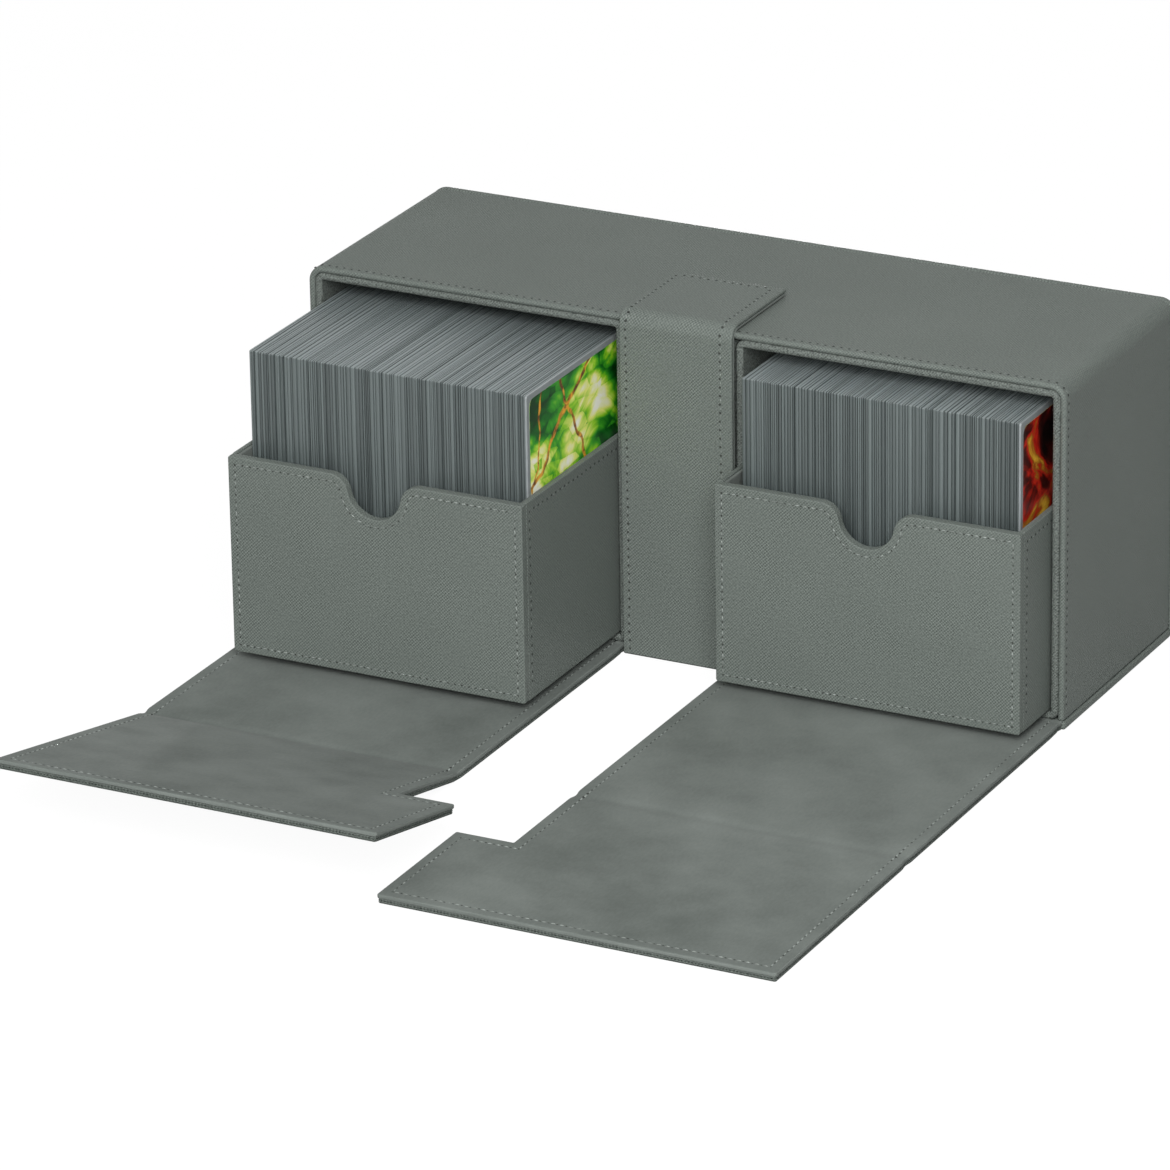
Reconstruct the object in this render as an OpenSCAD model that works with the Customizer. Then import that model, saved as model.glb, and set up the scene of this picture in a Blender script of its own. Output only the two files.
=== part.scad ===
// Card storage box: two card trays slide out of their compartments, one on each side of a narrow
// centre drawer, and two folding flaps open flat in front of it.
// Millimetres. X is width, Y is depth with the front towards -Y, Z is up from the table.

/* [Case] */
// Outside width of the shell
case_w = 250; // [230:1:300]
// Outside depth, from the shell's front edge to the back
case_d = 82; // [81:0.5:100]
// Outside height
case_h = 108; // [107:0.5:125]
// Thickness of the shell that wraps the sides and the top
shell_t = 2; // [1.8:0.1:3]
// Outside radius of the shell's two top corners
shell_r = 5; // [4:0.5:8]
// Thickness of the base board
base_t = 2.5; // [2:0.1:3]
// Thickness of the back board
back_t = 2.5; // [2:0.1:4]
// How far the base and back boards stand out beyond each side of the shell
board_lip = 0.5; // [0.2:0.1:1]

/* [Compartments] */
// Wall thickness of the two compartment sleeves
sleeve_t = 2.4; // [2:0.1:3]
// Floor thickness of the two compartment sleeves
sleeve_floor_t = 2.6; // [2:0.1:3]
// Radius of the sleeves' inside corners
sleeve_inner_r = 1; // [0.5:0.1:2]
// Width of the bay between the two sleeves
bay_w = 37.2; // [34:0.2:44]

/* [Card trays] */
// Outside height of a tray
tray_h = 62.8; // [50:0.2:80]
// Thickness of a tray's outer walls and floor
tray_wall_t = 1.4; // [1:0.1:2]
// Thickness of a tray's lining
tray_lining_t = 1; // [0.6:0.1:1.5]
// How far the lining's rim stays below the walls' rim
tray_lining_drop = 0.4; // [0.2:0.1:2]
// Thickness of a tray's front panel
tray_front_t = 3; // [2:0.1:4]
// Radius of the front panel's four corners
tray_front_r = 1.5; // [0.5:0.5:4]
// Depth of the thumb notch in the front panel
notch_d = 12.5; // [9.5:0.5:20]
// Radius of the notch's round bottom
notch_r = 9; // [7:0.5:12]
// Radius of the notch's two shoulders
notch_shoulder_r = 6; // [3:0.5:8]
// Distance that the left tray stands out of the case
left_tray_out = 60.8; // [0:0.2:70]
// Distance that the right tray stands out of the case
right_tray_out = 20.8; // [0:0.2:70]

/* [Cards] */
// Free height above the cards in their compartment
card_headroom = 4.8; // [1:0.2:20]
// Free depth between a tray's front panel and its cards
card_front_room = 6.6; // [0.6:0.2:15]
// Thickness of a sleeved card
card_t = 0.7; // [0.4:0.05:1]
// Free width that the left deck leaves in its tray
left_deck_room = 0.6; // [0.4:0.2:30]
// Free width that the right deck leaves in its tray
right_deck_room = 3.8; // [0.4:0.2:30]
// Radius of the corners of a card's sleeve
card_r = 0.8; // [0.4:0.2:4]

/* [Flaps] */
// Thickness of a flap's outer skin
flap_skin_t = 1.5; // [1:0.1:2.2]
// Thickness of a flap's lining
flap_lining_t = 1.4; // [1:0.1:2.2]
// Thickness of the stiffening boards inside the flaps
flap_board_t = 1.1; // [0.6:0.1:1.5]
// Distance from a flap's edge to the board inside it
flap_board_inset = 5; // [3:0.5:8]
// Width of the soft hinge between the base board and a flap
hinge_gap = 3.5; // [3:0.1:5]
// Width of the soft crease between a flap's two panels, beyond twice their thickness
crease_slack = 1.2; // [1.2:0.2:4]
// Thickness of the leather alone, whose middle the hinge and the crease turn about
crease_leather_t = 0.9; // [0.5:0.1:1.4]
// How far the hinge and the crease lie below the flap's surface
crease_dip = 0.3; // [0:0.1:1]
// How far the hinge and the crease are drawn in at each side
crease_pinch = 1; // [0.5:0.1:2]
// Extra length of the front panel for the turn over the case's front edge
front_panel_extra = 0.2; // [0:0.1:4]
// Extra length of the top panel beyond the case's depth
top_panel_extra = 3.6; // [1:0.1:6]
// Distance from the case's side to a flap's outer edge
flap_side_inset = 0.4; // [0:0.1:2]
// Gap between the two flaps' tabs on the centre line
tab_meet_gap = 0.8; // [0.4:0.1:3]
// Length of a flap's tab
flap_tab_l = 47.8; // [30:0.2:50]
// Radius of the flaps' outside corners
flap_r = 1; // [0.5:0.5:5]
// Radius of the inside corner between a flap and its tab
flap_inner_r = 0.5; // [0.5:0.5:3]
// Angle at which the left flap's top panel is left raised
left_top_tilt = 11.9; // [0:0.1:60]

/* [Centre drawer] */
// Thickness of the strap that fronts the drawer and runs over the case
strap_t = 2.2; // [1.8:0.1:3]
// Thickness of the board behind the strap's outer skin
strap_board_t = 1; // [0.6:0.1:1.4]
// Length of the strap's tab on top of the case, from the case's front edge
strap_tab_l = 35; // [25:0.5:38]
// Outside radius of the strap's bend over the front edge
strap_bend_r = 5; // [4:0.5:7]
// Radius of the two corners at the end of the strap's tab
strap_corner_r = 1.5; // [0.5:0.5:6]
// Wall thickness of the drawer
drawer_wall_t = 1.8; // [1.2:0.1:2.5]
// Thickness of the drawer's lining
drawer_lining_t = 0.8; // [0.5:0.1:1.2]
// Clearance above the drawer
drawer_top_gap = 0.8; // [0.5:0.1:3]

/* [Magnets] */
// Diameter of the magnets in the case's top and in the flaps' tabs
magnet_d = 6; // [4:0.5:8]
// Thickness of the magnets in the case's top and under the strap's tab
magnet_t = 1; // [0.6:0.1:1]
// Distance from a flap tab's end to the centre of its magnet
magnet_from_end = 15; // [8:0.5:25]
// Distance from the end of the strap's tab to the centre of its magnet
strap_magnet_from_end = 7; // [5:0.5:15]

/* [Clearances] */
// Gap on each side of a tray in its compartment
tray_side_gap = 0.5; // [0.3:0.1:1.5]
// Gap under a tray and under the drawer
slide_gap = 0.3; // [0.2:0.1:1]
// Gap behind a tray and behind the drawer when they are closed
end_gap = 1.2; // [0.5:0.1:3]
// Gap on each side of the drawer in the bay
drawer_side_gap = 0.5; // [0.3:0.1:1.5]
// Gap between the strap and the case that it lies against
strap_gap = 0.2; // [0.1:0.1:0.6]
// Gap between pieces that turn past each other
joint_gap = 0.3; // [0.2:0.1:0.6]
// Gap all round a magnet or board in its pocket
pocket_gap = 0.1; // [0.05:0.05:0.3]

/* [Hidden] */

left = -1;
right = 1;
arc_steps = 6;    // straight pieces in each rounded corner
cut = 1;          // how far a cutting shape reaches past what it cuts

leather = "#6a716d";
leather_dark = "#59605c";
sleeve_leather = "#68716f";
microfibre = "#737a77";
board_grey = "#8a8a86";
card_grey = "#7b8587";
card_print = "#5d8a3a";
steel = "#b5b8ba";

front_y = -case_d / 2;
back_y = case_d / 2;
inner_d = case_d - back_t;             // shell and sleeves, in front of the back board
sleeve_x0 = bay_w / 2;
sleeve_x1 = case_w / 2 - shell_t;
sleeve_z1 = case_h - shell_t;

tray_x = (sleeve_x0 + sleeve_x1) / 2;  // middle of a compartment
tray_w = sleeve_x1 - sleeve_x0 - 2 * sleeve_t - 2 * tray_side_gap;
tray_d = inner_d - end_gap;
tray_z = base_t + sleeve_floor_t + slide_gap;
tray_side_t = tray_wall_t + tray_lining_t;
tray_inner_w = tray_w - 2 * tray_side_t;
deck_y = tray_front_t + card_front_room;
deck_z = tray_side_t;
card_w = tray_d - tray_side_t - joint_gap - deck_y;
card_h = sleeve_z1 - sleeve_t - card_headroom - tray_z - deck_z;

flap_t = flap_skin_t + flap_lining_t;
crease_gap = 2 * flap_t + crease_slack;
crease_t = flap_t - crease_dip;
crease_axis_z = crease_leather_t / 2;
flap_x0 = bay_w / 2 + joint_gap;
flap_x1 = case_w / 2 - flap_side_inset;
board_z = flap_skin_t - (flap_board_t + pocket_gap) / 2;
front_panel_y0 = front_y - hinge_gap;
crease_y = front_y - case_h - front_panel_extra;
front_panel_y1 = crease_y + crease_gap / 2;
top_panel_y0 = crease_y - crease_gap / 2;
top_panel_y1 = crease_y - case_d - top_panel_extra;
tab_x = tab_meet_gap / 2;
tab_y = top_panel_y1 + flap_tab_l;
flap_magnet_x = (tab_x + flap_x0) / 2;
flap_magnet_y = top_panel_y1 + magnet_from_end;

drawer_w = bay_w - 2 * drawer_side_gap;
drawer_z0 = base_t + slide_gap;
drawer_h = case_h - shell_t - drawer_top_gap - drawer_z0;
drawer_d = inner_d - end_gap;
strap_front_y = front_y - strap_gap;   // the strap's inner face
strap_top_z = case_h + strap_gap;      // the underside of the strap's tab
strap_bend_y = strap_front_y - strap_t + strap_bend_r;
strap_bend_z = strap_top_z + strap_t - strap_bend_r;
strap_tab_y = strap_bend_y + joint_gap;
strap_end_y = front_y + strap_tab_l;
strap_magnet_y = strap_end_y - strap_magnet_from_end;
strap_skin_t = strap_t - strap_board_t;

// ---- outlines ----

function unit(v) = v / norm(v);
function turned(v, a) = [v.x * cos(a) - v.y * sin(a), v.x * sin(a) + v.y * cos(a)];

// Points of the arc that rounds corner p, on the way from the point before it to the one after
function corner_arc(before, p, after, r) =
    let (a = unit(before - p),
         b = unit(after - p),
         half = acos(a * b) / 2,
         centre = p + unit(a + b) * r / sin(half),
         from = p + a * r / tan(half) - centre,
         sweep = (180 - 2 * half) * sign(a.y * b.x - a.x * b.y))
    [for (i = [0 : arc_steps]) centre + turned(from, sweep * i / arc_steps)];

// Outline through the corners, each rounded by its own radius, or left sharp where that is 0
function rounded(corners, radii) =
    let (n = len(corners))
    [for (i = [0 : n - 1])
        each radii[i] == 0 ? [corners[i]]
            : corner_arc(corners[(i + n - 1) % n], corners[i], corners[(i + 1) % n], radii[i])];

// Rectangle between two opposite corners with the four given corner radii, anticlockwise
function rounded_rect(low, high, radii) =
    rounded([low, [high.x, low.y], high, [low.x, high.y]], radii);

function arc(centre, r, from, to) =
    [for (i = [0 : 2 * arc_steps])
        let (a = from + (to - from) * i / (2 * arc_steps))
        centre + r * [cos(a), sin(a)]];

// Thumb notch: two round shoulders that run into a round bottom, open towards +Y at y = top
function notch_outline(top) =
    let (drop = notch_d - notch_r - notch_shoulder_r,
         reach = sqrt((notch_r + notch_shoulder_r) ^ 2 - drop ^ 2),
         lean = atan(drop / reach),
         bottom = [0, top - notch_d + notch_r],
         shoulder = [reach, top - notch_shoulder_r])
    concat([[-reach, top + cut]],
           arc([-shoulder.x, shoulder.y], notch_shoulder_r, 90, -lean),
           arc(bottom, notch_r, 180 - lean, 360 + lean),
           arc(shoulder, notch_shoulder_r, 180 + lean, 90),
           [[reach, top + cut]]);

// ---- helpers ----

// Right-hand shape as it is, or mirrored onto the left
module on_side(side) {
    mirror([side == left ? 1 : 0, 0, 0]) children();
}

// Extrusion of an outline drawn in X and Z, running back from y0 for a length
module along_y(y0, length) {
    translate([0, y0 + length, 0])
        rotate([90, 0, 0])
            linear_extrude(height = length) children();
}

// Extrusion of an outline drawn in Y and Z, centred on the YZ plane
module along_x(width) {
    rotate([90, 0, 90])
        linear_extrude(height = width, center = true) children();
}

module plate(outline, z, thickness) {
    translate([0, 0, z]) linear_extrude(height = thickness) polygon(outline);
}

// ---- case ----

module base_board() {
    edge = case_w / 2 + board_lip;
    color(leather_dark)
        translate([-edge, front_y, 0]) cube([2 * edge, inner_d, base_t]);
}

module back_board() {
    edge = case_w / 2 + board_lip;
    r = shell_r + board_lip;
    color(leather_dark)
        along_y(back_y - back_t, back_t)
            polygon(rounded_rect([-edge, 0], [edge, case_h], [0, 0, r, r]));
}

module outer_shell() {
    edge = case_w / 2;
    inner_r = shell_r - shell_t;
    color(leather)
        difference() {
            along_y(front_y, inner_d)
                difference() {
                    polygon(rounded_rect([-edge, base_t], [edge, case_h],
                                         [0, 0, shell_r, shell_r]));
                    polygon(rounded_rect([-sleeve_x1, base_t - cut], [sleeve_x1, sleeve_z1],
                                         [0, 0, inner_r, inner_r]));
                }
            case_magnet_places()
                translate([0, 0, sleeve_z1 - cut])
                    cylinder(d = magnet_d + 2 * pocket_gap, h = cut + magnet_t + pocket_gap, $fn = 32);
        }
}

// One magnet under the strap's tab and one under each flap's tab, where they close
module case_magnet_places() {
    closed_y = back_y - magnet_from_end;
    translate([0, strap_magnet_y, 0]) children();
    translate([flap_magnet_x, closed_y, 0]) children();
    translate([-flap_magnet_x, closed_y, 0]) children();
}

module case_top_magnets() {
    color(steel)
        case_magnet_places()
            translate([0, 0, sleeve_z1 + pocket_gap]) cylinder(d = magnet_d, h = magnet_t, $fn = 32);
}

module compartment_sleeve(side) {
    outer_r = shell_r - shell_t;
    color(sleeve_leather)
        on_side(side)
            along_y(front_y, inner_d)
                difference() {
                    polygon(rounded_rect([sleeve_x0, base_t], [sleeve_x1, sleeve_z1],
                                         [0, 0, outer_r, outer_r]));
                    polygon(rounded_rect([sleeve_x0 + sleeve_t, base_t + sleeve_floor_t],
                                         [sleeve_x1 - sleeve_t, sleeve_z1 - sleeve_t],
                                         [for (i = [0 : 3]) sleeve_inner_r]));
                }
}

// Leather and lining that join the base board's front edge to a flap
module hinge_strip(side) {
    color(leather_dark)
        on_side(side)
            translate([flap_x0 + crease_pinch, front_panel_y0 + joint_gap, 0])
                cube([flap_x1 - flap_x0 - 2 * crease_pinch, hinge_gap - joint_gap, crease_t]);
}

// ---- card trays ----

module in_tray(side, out) {
    translate([side * tray_x, front_y - out, tray_z]) children();
}

// Floor, two sides and back, open at the front and at the top
module tray_body(side, out) {
    color(leather)
        in_tray(side, out)
            difference() {
                translate([-tray_w / 2, tray_front_t, 0])
                    cube([tray_w, tray_d - tray_front_t, tray_h]);
                translate([-tray_w / 2 + tray_wall_t, tray_front_t - cut, tray_wall_t])
                    cube([tray_w - 2 * tray_wall_t, tray_d - tray_front_t - tray_wall_t + cut, tray_h]);
            }
}

module tray_lining(side, out) {
    width = tray_w - 2 * tray_wall_t;
    depth = tray_d - tray_front_t - tray_wall_t;
    height = tray_h - tray_wall_t - tray_lining_drop;
    color(microfibre)
        in_tray(side, out)
            translate([-width / 2, tray_front_t, tray_wall_t])
                difference() {
                    cube([width, depth, height]);
                    translate([tray_lining_t, -cut, tray_lining_t])
                        cube([width - 2 * tray_lining_t, depth - tray_lining_t + cut, height]);
                }
}

module tray_front(side, out) {
    color(leather)
        in_tray(side, out)
            along_y(0, tray_front_t)
                difference() {
                    polygon(rounded_rect([-tray_w / 2, 0], [tray_w / 2, tray_h],
                                         [for (i = [0 : 3]) tray_front_r]));
                    polygon(notch_outline(tray_h));
                }
}

// Cards stand on edge with their faces to the side; x0 and x1 bound the block within the tray
module cards(side, out, x0, x1) {
    in_tray(side, out)
        translate([(x0 + x1) / 2, 0, 0])
            along_x(x1 - x0)
                polygon(rounded_rect([deck_y, deck_z], [deck_y + card_w, deck_z + card_h],
                                     [for (i = [0 : 3]) card_r]));
}

module card_deck(side, out, room) {
    deck_t = tray_inner_w - room;
    color(card_grey) cards(side, out, -deck_t / 2, deck_t / 2 - card_t);
}

// The last card of the deck, whose face shows
module end_card(side, out, room) {
    deck_t = tray_inner_w - room;
    color(card_print) cards(side, out, deck_t / 2 - card_t, deck_t / 2);
}

// ---- flaps, drawn on the right and lying flat ----

// Front panel, which closes against the case's front
function front_panel_outline(inset) =
    rounded_rect([flap_x0 + inset, front_panel_y1 + inset], [flap_x1 - inset, front_panel_y0 - inset],
                 [for (i = [0 : 3]) flap_r]);

// Top panel, which closes over the case's top, with its tab towards the centre
function top_panel_outline(inset) =
    rounded([[tab_x + inset, top_panel_y1 + inset],
             [flap_x1 - inset, top_panel_y1 + inset],
             [flap_x1 - inset, top_panel_y0 - inset],
             [flap_x0 + inset, top_panel_y0 - inset],
             [flap_x0 + inset, tab_y - inset],
             [tab_x + inset, tab_y - inset]],
            [flap_r, flap_r, flap_r, flap_r, flap_inner_r, flap_r]);

module flap_skin(outline, board_outline) {
    difference() {
        plate(outline, 0, flap_skin_t);
        plate(board_outline, board_z, flap_t);
    }
}

module flap_lining(outline, board_outline) {
    difference() {
        plate(outline, flap_skin_t, flap_lining_t);
        plate(board_outline, 0, board_z + flap_board_t + pocket_gap);
    }
}

module flap_front_skin(side) {
    color(leather_dark)
        on_side(side)
            flap_skin(front_panel_outline(0), front_panel_outline(flap_board_inset));
}

module flap_front_board(side) {
    color(board_grey)
        on_side(side)
            plate(front_panel_outline(flap_board_inset + pocket_gap), board_z, flap_board_t);
}

module flap_front_lining(side) {
    color(microfibre)
        on_side(side)
            flap_lining(front_panel_outline(0), front_panel_outline(flap_board_inset));
}

// Leather and lining that join a flap's two panels, rounded so that the top panel clears them as it turns
module flap_crease(side) {
    r = crease_gap / 2 - joint_gap;
    rise = crease_t - crease_axis_z;
    color(leather_dark)
        on_side(side)
            translate([(flap_x0 + flap_x1) / 2, 0, 0])
                along_x(flap_x1 - flap_x0 - 2 * crease_pinch)
                    polygon(concat([[front_panel_y1, 0], [front_panel_y1, crease_t]],
                                   arc([crease_y, crease_axis_z], r,
                                       180 - asin(rise / r), 180 + asin(crease_axis_z / r))));
}

// Turns a top panel up about the crease
module raised(tilt) {
    translate([0, crease_y, crease_axis_z])
        rotate([-tilt, 0, 0])
            translate([0, -crease_y, -crease_axis_z])
                children();
}

module flap_top_skin(side, tilt) {
    color(leather_dark)
        raised(tilt)
            on_side(side)
                flap_skin(top_panel_outline(0), top_panel_outline(flap_board_inset));
}

module flap_top_board(side, tilt) {
    color(board_grey)
        raised(tilt)
            on_side(side)
                difference() {
                    plate(top_panel_outline(flap_board_inset + pocket_gap), board_z, flap_board_t);
                    translate([flap_magnet_x, flap_magnet_y, 0])
                        cylinder(d = magnet_d + 2 * pocket_gap, h = flap_t, $fn = 32);
                }
}

module flap_top_lining(side, tilt) {
    color(microfibre)
        raised(tilt)
            on_side(side)
                flap_lining(top_panel_outline(0), top_panel_outline(flap_board_inset));
}

module flap_magnet(side, tilt) {
    color(steel)
        raised(tilt)
            on_side(side)
                translate([flap_magnet_x, flap_magnet_y, board_z])
                    cylinder(d = magnet_d, h = flap_board_t, $fn = 32);
}

// ---- centre drawer ----

module drawer_box() {
    color(sleeve_leather)
        translate([-drawer_w / 2, strap_front_y, drawer_z0])
            difference() {
                cube([drawer_w, drawer_d, drawer_h]);
                translate([drawer_wall_t, drawer_wall_t, drawer_wall_t])
                    cube([drawer_w - 2 * drawer_wall_t, drawer_d - 2 * drawer_wall_t, drawer_h]);
            }
}

module drawer_lining() {
    width = drawer_w - 2 * drawer_wall_t;
    depth = drawer_d - 2 * drawer_wall_t;
    height = drawer_h - drawer_wall_t - tray_lining_drop;
    color(microfibre)
        translate([-width / 2, strap_front_y + drawer_wall_t, drawer_z0 + drawer_wall_t])
            difference() {
                cube([width, depth, height]);
                translate([drawer_lining_t, drawer_lining_t, drawer_lining_t])
                    cube([width - 2 * drawer_lining_t, depth - 2 * drawer_lining_t, height]);
            }
}

module strap_front_board() {
    color(board_grey)
        translate([-bay_w / 2 + crease_pinch, strap_front_y - strap_board_t, slide_gap + crease_pinch])
            cube([bay_w - 2 * crease_pinch, strap_board_t, strap_bend_z - slide_gap - crease_pinch]);
}

// Outer leather of the drawer's front, turned in round the board
module strap_front_skin() {
    color(leather)
        difference() {
            translate([-bay_w / 2, strap_front_y - strap_t, slide_gap])
                cube([bay_w, strap_t, strap_bend_z - slide_gap]);
            translate([-bay_w / 2 + crease_pinch, strap_front_y - strap_board_t, slide_gap + crease_pinch])
                cube([bay_w - 2 * crease_pinch, strap_t, case_h]);
        }
}

// Soft quarter turn from the drawer's front to the tab, thinned where it passes the case's edge
module strap_bend() {
    centre = [strap_bend_y, strap_bend_z];
    inner = [strap_front_y, strap_top_z];
    color(leather)
        along_x(bay_w)
            polygon(concat(arc(centre, strap_bend_r, 180, 90),
                           [[strap_bend_y, strap_top_z], inner, [strap_front_y, strap_bend_z]]));
}

function strap_tab_outline() =
    rounded_rect([-bay_w / 2, strap_tab_y], [bay_w / 2, strap_end_y],
                 [0, 0, strap_corner_r, strap_corner_r]);

module strap_magnet_pocket() {
    translate([0, strap_magnet_y, strap_top_z])
        cylinder(d = magnet_d + 2 * pocket_gap, h = magnet_t + pocket_gap, $fn = 32);
}

module strap_tab_skin() {
    color(leather)
        difference() {
            plate(strap_tab_outline(), strap_top_z + strap_board_t, strap_skin_t);
            strap_magnet_pocket();
        }
}

module strap_tab_lining() {
    color(microfibre)
        difference() {
            plate(strap_tab_outline(), strap_top_z, strap_board_t);
            strap_magnet_pocket();
        }
}

module strap_tab_magnet() {
    color(steel)
        translate([0, strap_magnet_y, strap_top_z]) cylinder(d = magnet_d, h = magnet_t, $fn = 32);
}

base_board();
back_board();
outer_shell();
case_top_magnets();
compartment_sleeve(left);  // left_compartment_sleeve
compartment_sleeve(right);  // right_compartment_sleeve
hinge_strip(left);  // left_hinge_strip
hinge_strip(right);  // right_hinge_strip

tray_body(left, left_tray_out);  // left_tray_body
tray_lining(left, left_tray_out);  // left_tray_lining
tray_front(left, left_tray_out);  // left_tray_front
card_deck(left, left_tray_out, left_deck_room);  // left_card_deck
end_card(left, left_tray_out, left_deck_room);  // left_end_card
tray_body(right, right_tray_out);  // right_tray_body
tray_lining(right, right_tray_out);  // right_tray_lining
tray_front(right, right_tray_out);  // right_tray_front
card_deck(right, right_tray_out, right_deck_room);  // right_card_deck
end_card(right, right_tray_out, right_deck_room);  // right_end_card

flap_front_skin(left);  // left_flap_front_skin
flap_front_board(left);  // left_flap_front_board
flap_front_lining(left);  // left_flap_front_lining
flap_crease(left);  // left_flap_crease
flap_top_skin(left, left_top_tilt);  // left_flap_top_skin
flap_top_board(left, left_top_tilt);  // left_flap_top_board
flap_top_lining(left, left_top_tilt);  // left_flap_top_lining
flap_magnet(left, left_top_tilt);  // left_flap_magnet
flap_front_skin(right);  // right_flap_front_skin
flap_front_board(right);  // right_flap_front_board
flap_front_lining(right);  // right_flap_front_lining
flap_crease(right);  // right_flap_crease
flap_top_skin(right, 0);  // right_flap_top_skin
flap_top_board(right, 0);  // right_flap_top_board
flap_top_lining(right, 0);  // right_flap_top_lining
flap_magnet(right, 0);  // right_flap_magnet

drawer_box();
drawer_lining();
strap_front_board();
strap_front_skin();
strap_bend();
strap_tab_skin();
strap_tab_lining();
strap_tab_magnet();
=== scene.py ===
import math
import random

import bmesh
import bpy
import numpy as np
from mathutils import Matrix, Vector


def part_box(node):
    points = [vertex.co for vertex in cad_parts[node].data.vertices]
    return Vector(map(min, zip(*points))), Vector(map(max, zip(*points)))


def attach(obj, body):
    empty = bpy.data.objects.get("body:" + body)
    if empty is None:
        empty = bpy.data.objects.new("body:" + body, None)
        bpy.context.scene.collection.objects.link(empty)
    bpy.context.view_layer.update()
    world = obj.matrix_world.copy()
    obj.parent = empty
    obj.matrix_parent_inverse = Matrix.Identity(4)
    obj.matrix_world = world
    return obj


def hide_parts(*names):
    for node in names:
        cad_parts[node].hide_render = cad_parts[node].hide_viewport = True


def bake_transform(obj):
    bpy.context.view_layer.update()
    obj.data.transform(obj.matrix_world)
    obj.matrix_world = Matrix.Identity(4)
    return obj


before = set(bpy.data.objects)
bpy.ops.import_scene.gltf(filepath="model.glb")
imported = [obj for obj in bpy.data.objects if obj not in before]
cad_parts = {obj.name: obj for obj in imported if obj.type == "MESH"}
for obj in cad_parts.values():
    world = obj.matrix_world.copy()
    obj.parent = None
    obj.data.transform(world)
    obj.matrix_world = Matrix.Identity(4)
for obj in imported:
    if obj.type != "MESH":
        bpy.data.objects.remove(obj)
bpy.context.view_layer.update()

# ---- sizes, in metres ----

MM = 0.001
NEAR = 0.01 * MM
LEFT, RIGHT = -1, 1
SIDE_NAME = {LEFT: "left", RIGHT: "right"}

FLAP_TAB_LENGTH = 47.8 * MM
FLAP_CORNER_R = 0.8 * MM
FLAP_EDGE_R = 0.5 * MM
SKIN_EDGE_R = 0.4 * MM
EDGE_GROOVE = 0.32 * MM
SKIN_DRAWN_IN = 0.22 * MM
FLAP_SEAM_INSET = 3.4 * MM
FLAP_SEAM_PITCH = 2.7 * MM
FLAP_SPARE = 8 * MM
FLAP_CUT_SPACING = 6 * MM
LEFT_FLAP_LIFT = math.radians(11.9)
CREASE_DIP = 0.25 * MM
CREASE_PINCH = 0.4 * MM
PINCH_REACH = 3 * MM
LINING_FACE = 0.5 * MM
FLAP_SEAM_START = 0.5 * MM
RIPPLE_SIZE = 26 * MM
RIPPLE_DEPTH = 0.5 * MM
RIPPLE_INSET = FLAP_SEAM_INSET + 2 * MM
RIPPLE_HINGE_INSET = 4 * MM

TRAY_WALL = 1.4 * MM
TRAY_WALL_EDGE_R = 0.4 * MM
TRAY_LINING = 1.0 * MM
TRAY_LINING_EDGE_R = 0.35 * MM
TRAY_SEAM_INSET = 2.4 * MM
TRAY_SEAM_PITCH = 2.37 * MM
TRAY_RIM_PITCH = 2.6 * MM
TRAY_SIDE_SEAM_PITCH = 2.8 * MM
TRAY_SIDE_SEAM_DROP = 3.4 * MM
TRAY_SIDE_SEAM_FRONT = 2.0 * MM
TRAY_SIDE_SEAM_INSET = 3.0 * MM
TRAY_CORNER_R = 0.7 * MM
TRAY_EDGE_R = 1.1 * MM
NOTCH_DEPTH = 12.5 * MM
NOTCH_R = 9.0 * MM
NOTCH_SHOULDER_R = 6.0 * MM

SHELL_WALL = 2.0 * MM
SHELL_R = 5.0 * MM
SHELL_EDGE_R = 0.98 * MM
SHELL_SEAM_INSET = 2.1 * MM
SHELL_SEAM_FOOT = 2.5 * MM
SHELL_SEAM_PITCH = 2.55 * MM
BASE_EDGE_R = 0.7 * MM
BACK_R = SHELL_R + 0.5 * MM
BACK_EDGE_R = 0.8 * MM
BACK_SEAM_INSET = 2.8 * MM
SLEEVE_WALL = 2.4 * MM
SLEEVE_R = 3.0 * MM
SLEEVE_FOOT_R = 2.7 * MM
SLEEVE_EDGE_R = 1.1 * MM

STRAP_LEATHER = 1.3 * MM
STRAP_BEND_R = 5.0 * MM
STRAP_BACKING_GAP = 0.2 * MM
STRAP_EDGE_R = 0.6 * MM
STRAP_SEAM_PITCH = 2.7 * MM
STRAP_LEFT_SEAM = 2.1 * MM
STRAP_RIGHT_SEAM = 3.7 * MM
STRAP_END_SEAM = 2.0 * MM
STRAP_SEAM_FOOT = 2.0 * MM
STRAP_SEAM_R = 2.0 * MM
# how far up from the strap's foot its downward faces get painted shade
STRAP_SHADE_FOOT = 2.0 * MM

DRAWER_WALL = 1.8 * MM
DRAWER_EDGE_R = 0.5 * MM
DRAWER_LINING = 0.8 * MM
DRAWER_LINING_EDGE_R = 0.3 * MM

CARD_PITCH = 0.92 * MM
CARD_CORNER = 0.35 * MM
CARD_EDGE = 0.16 * MM
END_CARD_CORNER_R = 0.8 * MM
END_CARD_EDGE_R = 0.12 * MM
SLEEVE_MARGIN = 1.7 * MM
PRINT_CORNER_R = 2.4 * MM
PRINT_RISE = 0.03 * MM

GROOVE_WIDTH = 0.5 * MM
GROOVE_DEPTH = 0.14 * MM
SMOOTH_ANGLE = math.radians(40)
SHARP_ANGLE = math.radians(35)


# ---- modelling by hand: selection, edit mode and modifiers ----

def select_only(piece):
    bpy.ops.object.select_all(action="DESELECT")
    bpy.context.view_layer.objects.active = piece
    piece.select_set(True)


def start_editing(piece):
    select_only(piece)
    bpy.ops.object.mode_set(mode="EDIT")
    bpy.ops.mesh.select_all(action="DESELECT")


def stop_editing():
    bpy.ops.object.mode_set(mode="OBJECT")


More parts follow.
